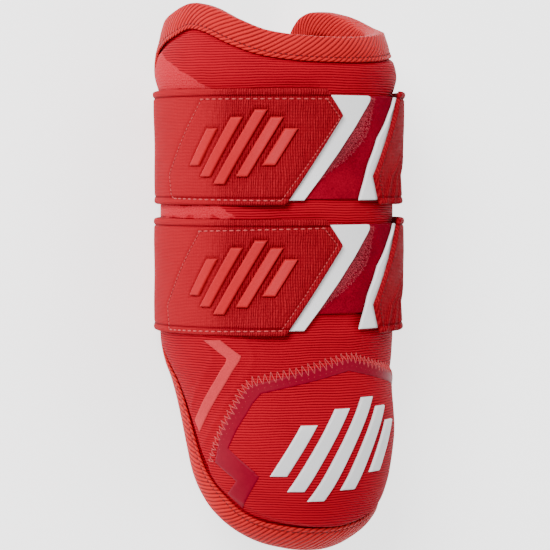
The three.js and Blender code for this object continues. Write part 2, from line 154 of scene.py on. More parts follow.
class SmoothTable:
    """A smooth curve through the rows of a table, held level outside them."""

    def __init__(self, rows: Sequence[Sequence[float]]) -> None:
        """Take the rows, each a place and then its values.

        Args:
            rows: the table's rows, in the order of their places.
        """
        table = np.array(rows, float)
        self.places, self.values = table[:, 0], table[:, 1:]
        secants = np.diff(self.values, axis=0) / np.diff(self.places)[:, None]
        inner = (secants[1:] + secants[:-1]) / 2
        self.slopes = np.concatenate([secants[:1], inner, secants[-1:]])

    def __call__(self, at: Array) -> list[Array]:
        """Read the table.

        Args:
            at: the places to read.

        Returns:
            One array for each column of values.
        """
        at = np.asarray(at, float)
        last = len(self.places) - 2
        row = np.clip(np.searchsorted(self.places, at, side="right") - 1, 0, last)
        run = self.places[row + 1] - self.places[row]
        p = np.clip((at - self.places[row]) / run, 0, 1)[..., None]
        rise = run[..., None]
        read = (
            (2 * p**3 - 3 * p**2 + 1) * self.values[row]
            + (p**3 - 2 * p**2 + p) * self.slopes[row] * rise
            + (3 * p**2 - 2 * p**3) * self.values[row + 1]
            + (p**3 - p**2) * self.slopes[row + 1] * rise
        )
        return list(np.moveaxis(read, -1, 0))


def by_share(rows: Sequence[Sequence[float]]) -> SmoothTable:
    """Number a table's rows from 0 to 1, so that they are read by their share of the way."""
    return SmoothTable([(i / (len(rows) - 1), *row) for i, row in enumerate(rows)])


@dataclass(frozen=True)
class ShellForm:
    """The curved surface that every piece of the guard is laid on."""

    half_length: float = 119.0
    half_width: float = 53.0
    half_depth: float = 49.0
    left_wrap: float = 132.0
    right_wrap: float = 140.0
    back_room: float = 4.9  # between the free edge and the straps' flat backs
    thickness: float = 8.0  # of the pad under its skin
    top_tuck: float = 3.6  # how far the upper end draws in on the right

    @property
    def centre_height(self) -> float:
        """Give the height of the straps' middle over the surface that they rest on."""
        return -self.half_depth * math.cos(math.radians(self.right_wrap)) + self.back_room

    def section(self, y: Array) -> list[Array]:
        """Read the section's width, depth and lift at a height along the arm."""
        return SECTION_CURVE(np.asarray(y, float) / self.half_length)

    def skin(self, turn: Array, y: Array) -> Array:
        """Give points of the pad's skin at angles and heights along the arm.

        Args:
            turn: the angles from the crown.
            y: the heights along the arm.

        Returns:
            The points, in the form's own frame.
        """
        wide, deep, lift = self.section(y)
        angle = np.radians(turn)
        tuck = smoothstep(y / self.half_length, 0.7, 0.87) * smoothstep(np.sin(angle), 0.3, 0.9)
        x = wide * self.half_width * np.sin(angle) - self.top_tuck * tuck
        z = self.centre_height + self.half_depth * (lift + deep * np.cos(angle))
        return np.stack([x, np.broadcast_to(y, x.shape), z], axis=-1)

    def point(self, turn: Array, y: Array, height: Array | float) -> Array:
        """Give points at a height over the skin.

        Args:
            turn: the angles from the crown.
            y: the heights along the arm.
            height: how far out of the skin, or into it where negative.

        Returns:
            The points, in the form's own frame.
        """
        nudge = 0.5
        turn, y, height = np.broadcast_arrays(*(np.asarray(v, float) for v in (turn, y, height)))
        across = self.skin(turn + nudge, y) - self.skin(turn - nudge, y)
        along = self.skin(turn, y + nudge) - self.skin(turn, y - nudge)
        normal = np.cross(across, along)
        normal /= np.linalg.norm(normal, axis=-1, keepdims=True)
        return self.skin(turn, y) + normal * height[..., None]

    def place(self, s: Array, t: Array) -> tuple[Array, Array]:
        """Give the angle and the height at shares across the pad and along it.

        Args:
            s: the shares from the left edge to the right one.
            t: the shares from the bottom edge to the top one.

        Returns:
            The angles and the heights.
        """
        turn = lerp(-self.left_wrap, self.right_wrap, np.asarray(s, float))
        side = np.where(turn < 0, turn / self.left_wrap, turn / self.right_wrap)
        low, high = BOTTOM_CURVE(side)[0], TOP_CURVE(side)[0]
        return turn, lerp(low, high, t) * self.half_length

    def flat(self, turn: Array, y: Array) -> Array:
        """Give places as flat points: millimetres round the skin and along the arm."""
        wide = self.section(y)[0]
        return np.stack([np.radians(turn) * self.half_width * wide, y], axis=-1)


SECTION_CURVE = SmoothTable(SECTIONS)
TOP_CURVE = SmoothTable(TOP_EDGE)
BOTTOM_CURVE = SmoothTable(BOTTOM_EDGE)
SEAM_CURVE = by_share(CUP_SEAM)


def nearest_of(places: Array) -> KDTree:
    """Make a finder of the nearest among flat places.

    Args:
        places: the places, one row each.

    Returns:
        The finder, which numbers the places in their order.
    """
    tree = KDTree(len(places))
    for i, (x, y) in enumerate(places):
        tree.insert((x, y, 0), i)
    tree.balance()
    return tree


class FreeEdge:
    """The pad's free edge, as a closed line of stations that each know which way is in.

    It runs along the bottom, up the right side, back along the top and down the left side.
    """

    COLUMNS = 40  # steps along the bottom, and as many along the top
    ROWS = 20  # steps up each side
    PER_STEP = 5  # stations in each step
    BOTTOM_END = COLUMNS * PER_STEP
    TOP_END = (2 * COLUMNS + ROWS) * PER_STEP
    PASSES = 4  # how often each inward direction is eased with its neighbours

    def __init__(self, form: ShellForm) -> None:
        """Walk the edge anticlockwise seen from outside.

        Args:
            form: the surface that it lies on.
        """
        columns, rows = self.steps()
        level, side = np.ones(self.COLUMNS), np.ones(self.ROWS)
        s = np.concatenate([columns, side, columns[-2::-1], 0 * side[1:]])
        t = np.concatenate([[0], 0 * level, rows[1:], level, rows[-2:0:-1]])
        self.form = form
        inward = self._inward(form.flat(*form.place(s, t)))
        at = np.arange(len(s) * self.PER_STEP) / self.PER_STEP
        self.turn, self.y = form.place(self._between(s, at), self._between(t, at))
        self.inward = self._between(inward, at)
        self.inward /= np.linalg.norm(self.inward, axis=-1, keepdims=True)
        self.flat = form.flat(self.turn, self.y)
        steps = np.linalg.norm(np.diff(self.flat, axis=0, append=self.flat[:1]), axis=-1)
        self.run = np.concatenate([[0], np.cumsum(steps)])
        self.tree = nearest_of(self.flat)

    @classmethod
    def steps(cls) -> tuple[Array, Array]:
        """Give the shares across the pad and along it at which the edge's steps lie."""
        return shares(cls.COLUMNS, 0.5), shares(cls.ROWS, 0.45)

    @staticmethod
    def _between(values: Array, at: Array) -> Array:
        """Read a closed row of values between its steps.

        Args:
            values: one for each step.
            at: where to read, counted in steps.

        Returns:
            The values there.
        """
        low = at.astype(int)
        share = (at - low).reshape(-1, *([1] * (values.ndim - 1)))
        return lerp(values[low], values[(low + 1) % len(values)], share)

    def _inward(self, flat: Array) -> Array:
        """Turn the edge's run by a quarter at each step and ease the directions.

        Args:
            flat: the flat places of the edge's steps.

        Returns:
            A flat direction for each.
        """
        run = np.roll(flat, -1, axis=0) - np.roll(flat, 1, axis=0)
        inward = np.stack([-run[:, 1], run[:, 0]], axis=-1)
        inward /= np.linalg.norm(inward, axis=-1, keepdims=True)
        for _ in range(self.PASSES):
            inward = 2 * inward + np.roll(inward, 1, axis=0) + np.roll(inward, -1, axis=0)
            inward /= np.linalg.norm(inward, axis=-1, keepdims=True)
        return inward

    def inset(self, distance: Array | float) -> tuple[Array, Array]:
        """Give the angle and height at a distance in from every station.

        Args:
            distance: one distance, or an array with a last axis of stations.

        Returns:
            The angles and the heights.
        """
        wide = self.form.half_width * self.form.section(self.y)[0]
        turn = self.turn + np.degrees(self.inward[:, 0] * distance / wide)
        return turn, self.y + self.inward[:, 1] * distance

    def distance(self, turn: Array, y: Array) -> Array:
        """Give how far places lie in from the free edge.

        Args:
            turn: the angles from the crown.
            y: the heights along the arm.

        Returns:
            The distances.
        """
        flat = self.form.flat(turn, y)
        near = [self.tree.find((u, v, 0))[2] for u, v in flat.reshape(-1, 2)]
        return np.array(near).reshape(flat.shape[:-1])


def frame_shift(form: ShellForm, edge: FreeEdge) -> Array:
    """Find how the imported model's frame lies against the form's own frame.

    Args:
        form: the surface, in its own frame.
        edge: the pad's free edge.

    Returns:
        The millimetres to add to every point of the form.
    """
    turn, y = form.place(*np.meshgrid(*edge.steps(), indexing="ij"))
    depth, full_to, none_from = SOLID_RIM
    drop = depth * (1 - smoothstep(edge.distance(turn, y), full_to, none_from))
    faces = form.point(turn, y, -drop), form.point(turn, y, drop - form.thickness)
    points = np.concatenate([face.reshape(-1, 3) for face in faces])
    low, high = (np.array(corner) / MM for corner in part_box("main_pad"))
    return (low + high - points.min(axis=0) - points.max(axis=0)) / 2


@dataclass
class Workshop:
    """The surface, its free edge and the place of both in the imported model's frame."""

    form: ShellForm = field(default_factory=ShellForm)

    def __post_init__(self) -> None:
        """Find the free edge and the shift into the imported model's frame."""
        self.edge = FreeEdge(self.form)
        self.shift = frame_shift(self.form, self.edge)

    def piece(self, name: str, points: Array, faces: Array, uvs: Array) -> bpy.types.Object:
        """Make a smooth mesh object from faces in the form's frame.

        Args:
            name: the piece's name.
            points: the corners, one row each.
            faces: the four corners of each face.
            uvs: the flat place in metres of each corner of each face.

        Returns:
            The new object, with its place in its mesh.
        """
        mesh = bpy.data.meshes.new(name)
        mesh.from_pydata(((points + self.shift) * MM).tolist(), [], faces.tolist())
        layer = mesh.uv_layers.new(name="UVMap")
        layer.data.foreach_set("uv", uvs.reshape(-1).astype(np.float32))
        mesh.polygons.foreach_set("use_smooth", np.ones(len(faces), bool))
        mesh.update()
        made = bpy.data.objects.new(name, mesh)
        bpy.context.collection.objects.link(made)
        return made

    def sheet(self, name: str, outer: Array, inner: Array, flat: Array) -> bpy.types.Object:
        """Close two grids of points, outer over inner, into one sheet with a rim.

        Args:
            name: the piece's name.
            outer: the outer face's points by column and row.
            inner: the inner face's points, as many.
            flat: the flat place in metres of each point.

        Returns:
            The new object.
        """
        columns, rows = outer.shape[:2]
        count = columns * rows
        at = np.arange(count).reshape(columns, rows)
        left, right = at[:-1], at[1:]
        front = np.stack([left[:, :-1], right[:, :-1], right[:, 1:], left[:, 1:]], axis=-1)
        quads = [front.reshape(-1, 4), front.reshape(-1, 4)[:, ::-1] + count]
        loop = np.concatenate([at[:, 0], at[-1, 1:], at[-2::-1, -1], at[0, -2:0:-1]])
        after = np.roll(loop, -1)
        quads.append(np.stack([loop + count, after + count, after, loop], axis=-1))
        faces = np.concatenate(quads)
        points = np.concatenate([outer.reshape(-1, 3), inner.reshape(-1, 3)])
        places = np.concatenate([flat.reshape(-1, 2)] * 2)
        return self.piece(name, points, faces, places[faces])

    def ring(self, name: str, stations: Array, run: Array, width: Array) -> bpy.types.Object:
        """Close a row of sections into one ring.

        Args:
            name: the piece's name.
            stations: the points by station and place in the section.
            run: the millimetres along the ring at each station, and all the way round.
            width: the millimetres along the section at each place, and all the way round.

        Returns:
            The new object.
        """
        count, size = stations.shape[:2]
        i, j = (v.reshape(-1) for v in np.meshgrid(range(count), range(size), indexing="ij"))
        corners = ((i, j), (i, j + 1), (i + 1, j + 1), (i + 1, j))
        faces = np.stack([(a % count) * size + b % size for a, b in corners], axis=-1)
        uvs = np.stack([np.stack([run[a], width[b]], axis=-1) for a, b in corners], axis=1)
        return self.piece(name, stations.reshape(-1, 3), faces, uvs * MM)

    def dress(self, made: bpy.types.Object, finish: bpy.types.Material, slot: str,
              nodes: Sequence[str] = ()) -> None:
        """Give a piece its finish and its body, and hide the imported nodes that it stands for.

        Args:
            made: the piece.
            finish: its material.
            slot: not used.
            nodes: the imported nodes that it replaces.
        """
        made.data.materials.clear()
        made.data.materials.append(finish)
        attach(made, BODY)
        if nodes:
            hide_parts(*nodes)
        log.info("%s: %d faces", made.name, len(made.data.polygons))


class Nodes:
    """A material's tree, written a node at a time."""

    def __init__(self, name: str) -> None:
        """Start a material with a shader, its output and the piece's own flat map.

        Args:
            name: the material's name.
        """
        self.material = bpy.data.materials.new(name)
        self.material.use_nodes = True
        self.tree = self.material.node_tree
        self.tree.nodes.clear()
        self.shader = self.add("ShaderNodeBsdfPrincipled")
        output = self.add("ShaderNodeOutputMaterial")
        self.tree.links.new(self.shader.outputs["BSDF"], output.inputs["Surface"])
        uv = self.add("ShaderNodeUVMap")
        uv.uv_map = "UVMap"
        self.flat = uv.outputs["UV"]
        self.place = self.add("ShaderNodeTexCoord").outputs["Object"]

    def add(self, kind: str, **settings: object) -> bpy.types.Node:
        """Add a node and set its properties.

        Args:
            kind: the node's type.
            **settings: its properties.

        Returns:
            The node.
        """
        node = self.tree.nodes.new(kind)
        for name, value in settings.items():
            setattr(node, name, value)
        return node

    def feed(self, socket: bpy.types.NodeSocket, value: object) -> None:
        """Link a socket into an input, or set the input to a value.

        Args:
            socket: the input.
            value: a socket, a number or a colour.
        """
        if isinstance(value, bpy.types.NodeSocket):
            self.tree.links.new(value, socket)
        else:
            socket.default_value = value

    def math(self, operation: str, *values: object) -> bpy.types.NodeSocket:
        """Work out a value from sockets and numbers.

        Args:
            operation: what to work out.
            *values: the sockets and numbers, in order.

        Returns:
            The result.
        """
        node = self.add("ShaderNodeMath", operation=operation)
        for socket, value in zip(node.inputs, values):
            self.feed(socket, value)
        return node.outputs[0]

    def split(self, vector: bpy.types.NodeSocket) -> tuple[bpy.types.NodeSocket, ...]:
        """Split a vector into its three values.

        Args:
            vector: the vector.

        Returns:
            Its values.
        """
        node = self.add("ShaderNodeSeparateXYZ")
        self.feed(node.inputs[0], vector)
        return tuple(node.outputs)

    def noise(self, vector: bpy.types.NodeSocket, fineness: Sequence[float], detail: float,
              roughness: float = 0.5) -> bpy.types.NodeSocket:
        """Read a noise from 0 to 1 that is this fine along each axis of a vector.

        Args:
            vector: where to read it.
            fineness: its scale along each axis.
            detail: how many finer layers it has.
            roughness: how much those count.

        Returns:
            The noise.
        """
        stretched = self.add("ShaderNodeMapping")
        stretched.inputs["Scale"].default_value = fineness
        self.feed(stretched.inputs["Vector"], vector)
        node = self.add("ShaderNodeTexNoise")
        self.feed(node.inputs["Vector"], stretched.outputs[0])
        node.inputs["Scale"].default_value = 1.0
        node.inputs["Detail"].default_value = detail
        node.inputs["Roughness"].default_value = roughness
        return node.outputs[0]

    def span(self, value: object, low: float, high: float, to_low: float = 0.0,
             to_high: float = 1.0) -> bpy.types.NodeSocket:
        """Map a stretch of a value smoothly onto another.

        Args:
            value: what to map.
            low: where the stretch begins.
            high: where it ends.
            to_low: what the beginning maps to.
            to_high: what the end maps to.

        Returns:
            The mapped value.
        """
        node = self.add("ShaderNodeMapRange", interpolation_type="SMOOTHSTEP")
        for socket, number in zip(node.inputs, (value, low, high, to_low, to_high)):
            self.feed(socket, number)
        return node.outputs[0]

    def waves(self, along: object, pitch: float, shift: object = 0.0) -> bpy.types.NodeSocket:
        """Make round ribs with narrow grooves, from 0 to 1, across a length."""
        turns = self.math("MULTIPLY_ADD", along, math.pi / pitch, shift)
        return self.math("ABSOLUTE", self.math("SINE", turns))

    def mix(self, share: object, first: object, second: object) -> bpy.types.NodeSocket:
        """Mix two colours by a share.

        Args:
            share: from 0 to 1, the second's part.
            first: a colour or a socket.
            second: a colour or a socket.

        Returns:
            The mixed colour.
        """
        node = self.add("ShaderNodeMix", data_type="RGBA")
        self.feed(node.inputs[0], share)
        for socket, colour in zip(node.inputs[6:8], (first, second)):
            self.feed(socket, (*colour, 1.0) if isinstance(colour, tuple) else colour)
        return node.outputs[2]

    def bump(self, height: object, distance: float, strength: float = 1.0,
             under: bpy.types.NodeSocket | None = None) -> bpy.types.NodeSocket:
        """Tilt the surface by a height, over another bump where one is given.

        Args:
            height: from 0 to 1.
            distance: how many metres a height of 1 stands up.
            strength: how much of the tilt counts.
            under: the other bump.

        Returns:
            The tilted normal.
        """
        node = self.add("ShaderNodeBump")
        node.inputs["Strength"].default_value = strength
        node.inputs["Distance"].default_value = distance
        self.feed(node.inputs["Height"], height)
        if under is not None:
            self.feed(node.inputs["Normal"], under)
        return node.outputs[0]

    def finish(self, colour: object, roughness: float, normal: bpy.types.NodeSocket,
               specular: float = 0.3) -> bpy.types.Material:
        """Set the shader's inputs and give the material.

        Args:
            colour: a colour or a socket.
            roughness: how dull the surface is.
            normal: the tilted normal.
            specular: how much a dull surface still reflects.

        Returns:
            The material.
        """
        inputs = self.shader.inputs
        self.feed(inputs["Base Color"], (*colour, 1.0) if isinstance(colour, tuple) else colour)
        self.feed(inputs["Roughness"], roughness)
        inputs["Specular IOR Level"].default_value = specular
        self.feed(inputs["Normal"], normal)
        return self.material


# The print's slanted patches on the pad: how far the edge leans for each millimetre up, how far
# across the pad the edge reaches at the middle of its length, and the patch's lowest and highest
# places along the arm.
PRINT_PATCHES = (
    (2.36, 129.5, 79.0, 104.0),
    (1.1, -20.0, 24.0, 30.0),
)


@dataclass(frozen=True)
class RibbedCloth:
    """Cross-ribbed cloth: fine ribs round the arm, with a matt print in places."""

    # The colours of the ribs' crests and grooves: the darker grooves are painted shade, mixed with a
    # tone that varies at random in patches.
    bright: Colour = (0.34, 0.0, 0.01)
    deep: Colour = (0.09, 0.0, 0.003)
    print_colour: Colour = (0.46, 0.02, 0.034)
    rib: float = 1.12  # from one rib to the next
    cord: float = 0.55  # from one cord to the next, across the ribs
    relief: float = 0.22
    quilting: float = 0.6  # how far the soft unevenness under the ribs rises
    print_edge: float = 9.0  # how far the print's ragged edge wanders in all
    printed: bool = True

    def material(self, name: str) -> bpy.types.Material:
        """Build the finish under a name.

        Args:
            name: the material's name.

        Returns:
            The new material.
        """
        n = Nodes(name)
        across, along, _ = n.split(n.flat)
        sway = n.noise(n.flat, (22, 30, 1), 3)
        ribs = n.waves(along, self.rib * MM, n.math("MULTIPLY", sway, 9.0))
        yarn = n.noise(n.flat, (260, 1900, 1), 2)
        cross = n.waves(across, self.cord * MM, n.math("MULTIPLY", sway, 5.0))
        height = n.math("MULTIPLY_ADD", cross, 0.12, ribs)
        height = n.math("MULTIPLY_ADD", yarn, 0.3, height)
        patchy = n.noise(n.flat, (30, 45, 1), 4, 0.6)
        # Painted shade: the colour darkens in the ribs' grooves and lightens on their crests, over a
        # tone that varies at random in patches.
        shade = n.math("MULTIPLY_ADD", patchy, 0.5, n.math("MULTIPLY", ribs, 0.8))
        colour = n.mix(n.span(shade, 0.15, 0.95), self.deep, self.bright)
        if self.printed:
            print_share = self._print(n, across, along)
            speckle = n.noise(n.flat, (1500, 1500, 1), 3, 0.7)
            print_shade = n.mix(n.span(speckle, 0.36, 0.6), self.bright, self.print_colour)
            colour = n.mix(print_share, colour, print_shade)
            height = n.math("MULTIPLY_ADD", n.math("MULTIPLY", ribs, -0.75), print_share, height)
        normal = n.bump(height, self.relief * MM)
        uneven = n.noise(n.flat, (55, 90, 1), 3)
        normal = n.bump(uneven, self.quilting * MM, 0.6, normal)
        return n.finish(colour, 0.66, normal, specular=0.03)

    def _print(self, n: Nodes, across: bpy.types.NodeSocket,
               along: bpy.types.NodeSocket) -> bpy.types.NodeSocket:
        """Mark the slanted patches of print beside the straps, with soft mottled edges.

        Args:
            n: the finish's tree.
            across: the place round the arm, in metres.
            along: the place along the arm, in metres.

        Returns:
            How strong the print is, from 0 to 0.9.
        """
        ragged = n.noise(n.flat, (160, 160, 1), 4, 0.7)
        wander = self.print_edge * MM
        ragged = n.math("MULTIPLY_ADD", ragged, wander, -wander / 2)
        cuts = []
        for slope, reach, low, high in PRINT_PATCHES:
            slanted = n.math("MULTIPLY_ADD", along, slope, across)
            inside = n.math("SUBTRACT", reach * MM, n.math("ADD", slanted, ragged))
            share = n.span(inside, 0.0, 1.2 * MM)
            over = n.span(n.math("ADD", along, ragged), low * MM, (low + 1) * MM)
            below = n.span(n.math("ADD", along, ragged), (high - 1) * MM, high * MM, 1.0, 0.0)
            cuts.append(n.math("MULTIPLY", share, n.math("MULTIPLY", over, below)))
        total = cuts[0]
        for cut in cuts[1:]:
            total = n.math("MAXIMUM", total, cut)
        return n.math("MULTIPLY", total, 0.9)


@dataclass(frozen=True)
class TwillTape:
    """The folded edge tape: smooth coral twill with slanted ribs."""

    # The colours of the ribs' crests and grooves: the darker grooves are painted shade, the brighter
    # crests painted highlight.
    bright: Colour = (0.48, 0.01, 0.013)
    deep: Colour = (0.13, 0.0, 0.002)
    rib: float = 2.85
    yarn: float = 0.5  # from one yarn of a rib to the next
    slant: float = 1.3
    relief: float = 0.42

    def material(self, name: str) -> bpy.types.Material:
        """Build the finish under a name.

        Args:
            name: the material's name.

        Returns:
            The new material.
        """
        n = Nodes(name)
        along, across, _ = n.split(n.flat)
        sway = n.noise(n.flat, (60, 60, 1), 2)
        slanted = n.math("MULTIPLY_ADD", across, self.slant, along)
        ribs = n.waves(slanted, self.rib * MM, n.math("MULTIPLY", sway, 2.5))
        fine = n.waves(along, self.yarn * MM, n.math("MULTIPLY", sway, 4.0))
        height = n.math("MULTIPLY_ADD", fine, 0.15, ribs)
        # Painted shade and highlight: the colour darkens in the grooves between the slanted ribs and
        # brightens on their crests, over a tone that varies at random.
        shade = n.math("MULTIPLY_ADD", n.noise(n.flat, (70, 90, 1), 3), 0.4, ribs)
        colour = n.mix(n.span(shade, 0.1, 1.1), self.deep, self.bright)
        return n.finish(colour, 0.55, n.bump(height, self.relief * MM), specular=0.06)


# The elastic's finish paints a dark line of shade along each of these grooves.
HEM_GROOVES = (3.3, 46.9)  # how far up a strap its hems end
STITCHED_FROM = 255.0  # how far along a strap its pucker lines begin, from its anchored end


@dataclass(frozen=True)
class Elastic:
    """The straps' knitted elastic: fine rows along it, with pucker lines across it."""

    # The colours of the knit's crests and grooves: the darker colour carries painted shade in the
    # grooves, along the hems and over the gathered stretches.
    bright: Colour = (0.36, 0.008, 0.016)
    deep: Colour = (0.13, 0.0, 0.004)
    row: float = 0.62
    column: float = 1.05
    relief: float = 0.16
    pucker: float = 0.34
    sewn_from: float = 20.0  # where the tight stretch beside the sewn end begins to ease
    sewn_to: float = 30.0  # where it has ended
    tightening: float = 18.0  # the length over which the pucker lines come up

    def material(self, name: str) -> bpy.types.Material:
        """Build the finish under a name.

        Args:
            name: the material's name.

        Returns:
            The new material.
        """
        n = Nodes(name)
        along, across, _ = n.split(n.flat)
        sewn = n.span(along, self.sewn_from * MM, self.sewn_to * MM, 1.0, 0.0)
        full_from = STITCHED_FROM + self.tightening
        tight = n.math("ADD", sewn, n.span(along, STITCHED_FROM * MM, full_from * MM))
        sway = n.math("MULTIPLY", n.noise(n.flat, (150, 60, 1), 3), 7.0)
        columns = n.waves(along, self.column * MM, sway)
        rows = n.waves(across, self.row * MM, n.math("MULTIPLY", sway, 0.4))
        weave = n.math("MULTIPLY", rows, n.math("MULTIPLY_ADD", columns, 0.45, 0.55))
        broken = n.span(n.noise(n.flat, (700, 260, 1), 2, 0.6), 0.3, 0.62)
        puckered = n.math("MULTIPLY", n.math("MULTIPLY", columns, broken), tight)
        patchy = n.noise(n.flat, (60, 60, 1), 3)
        # Painted shade: the colour darkens in the grooves between the knit's rows, over a tone that
        # varies at random.
        shade = n.math("MULTIPLY_ADD", weave, 0.6, n.math("MULTIPLY", patchy, 0.2))
        # Painted shade: a dark line along each hem's groove.
        for hem in HEM_GROOVES:
            off = n.math("ABSOLUTE", n.math("SUBTRACT", across, hem * MM))
            hem_shade = n.span(off, 0.15 * MM, 0.6 * MM, 1.0, 0.0)
            shade = n.math("MULTIPLY_ADD", hem_shade, -0.5, shade)
        # Painted highlight on the pucker ridges, then painted shade over the gathered stretches
        # beside the sewn end and the stitching.
        shade = n.math("MULTIPLY_ADD", puckered, 0.3, shade)
        shade = n.math("MULTIPLY_ADD", tight, -0.33, n.math("ADD", shade, 0.2))
        colour = n.mix(n.span(shade, 0.0, 0.95), self.deep, self.bright)
        normal = n.bump(puckered, self.pucker * MM)
        normal = n.bump(weave, self.relief * MM, 1.0, normal)
        return n.finish(colour, 0.7, normal, specular=0.03)


@dataclass(frozen=True)
class Plain:
    """A smooth or lightly grained finish in one colour, mottled a little."""

    colour: Colour
    shade: float = 0.85
    roughness: float = 0.5
    grain: float = 900.0
    relief: float = 0.05
    specular: float = 0.35

    def material(self, name: str) -> bpy.types.Material:
        """Build the finish under a name.

        Args:
            name: the material's name.

        Returns:
            The new material.
        """
        n = Nodes(name)
        grain = n.noise(n.place, (self.grain,) * 3, 3, 0.6)
        broad = n.noise(n.place, (45,) * 3, 3)
        mottle = n.math("MULTIPLY_ADD", broad, 0.5, n.math("MULTIPLY", grain, 0.5))
        darker = tuple(self.shade * value for value in self.colour)
        colour = n.mix(n.span(mottle, 0.3, 0.7), darker, self.colour)
        normal = n.bump(grain, self.relief * MM)
        return n.finish(colour, self.roughness, normal, self.specular)


@dataclass(frozen=True)
class Thread:
    """Twisted sewing thread."""

    colour: Colour = (0.48, 0.05, 0.055)
    roughness: float = 0.5

    def material(self, name: str) -> bpy.types.Material:
        """Build the finish under a name.

        Args:
            name: the material's name.

        Returns:
            The new material.
        """
        n = Nodes(name)
        twist = n.noise(n.place, (2600,) * 3, 2)
        darker = tuple(0.7 * value for value in self.colour)
        colour = n.mix(n.span(twist, 0.3, 0.7), darker, self.colour)
        return n.finish(colour, self.roughness, n.bump(twist, 0.05 * MM), specular=0.2)


class Finish(Enum):
    """The guard's finishes."""

    RIBBED = RibbedCloth()
    CUP = RibbedCloth(printed=False)
    TAPE = TwillTape()
    ELASTIC = Elastic()
    LINING = Plain((0.006, 0.005, 0.006), 0.6, 0.9, 1500.0, 0.12, specular=0.08)
    WHITE_RUBBER = Plain((0.8, 0.8, 0.81), 0.9, 0.5, 1300.0, 0.16)
    CORAL_RUBBER = Plain((0.4, 0.008, 0.014), 0.88, 0.42, 1300.0, 0.1, specular=0.08)
    GREY_RUBBER = Plain((0.62, 0.62, 0.63), 0.92, 0.42, 1300.0, 0.12)
    CORAL_FILM = Plain((0.52, 0.036, 0.045), 0.7, 0.75, 1400.0, 0.08, specular=0.04)
    CRIMSON_FILM = Plain((0.19, 0.0, 0.012), 0.85, 0.45, 500.0, 0.03, specular=0.06)
    LOOPS = Plain((0.25, 0.0, 0.012), 0.45, 0.85, 1300.0, 0.35, specular=0.03)
    PALE_THREAD = Thread()
    # Dark red thread for the binding and the sewn end, also used for the dark beads of painted shade
    # at the strap stitches' needle holes.
    RED_THREAD = Thread((0.12, 0.0, 0.003), 0.6)
    PALE_PILE = Plain((0.55, 0.06, 0.09), 0.7, 0.9, 900.0, 0.02, specular=0.05)


class Materials:
    """The finishes that are in use, each built once."""

    def __init__(self) -> None:
        """Start with none built."""
        self.built: dict[Finish, bpy.types.Material] = {}

    def __getitem__(self, finish: Finish) -> bpy.types.Material:
        """Give a finish's material, building it when it is first asked for.

        Args:
            finish: the finish.

        Returns:
            Its material.
        """
        if finish not in self.built:
            self.built[finish] = finish.value.material(finish.name.lower())
        return self.built[finish]


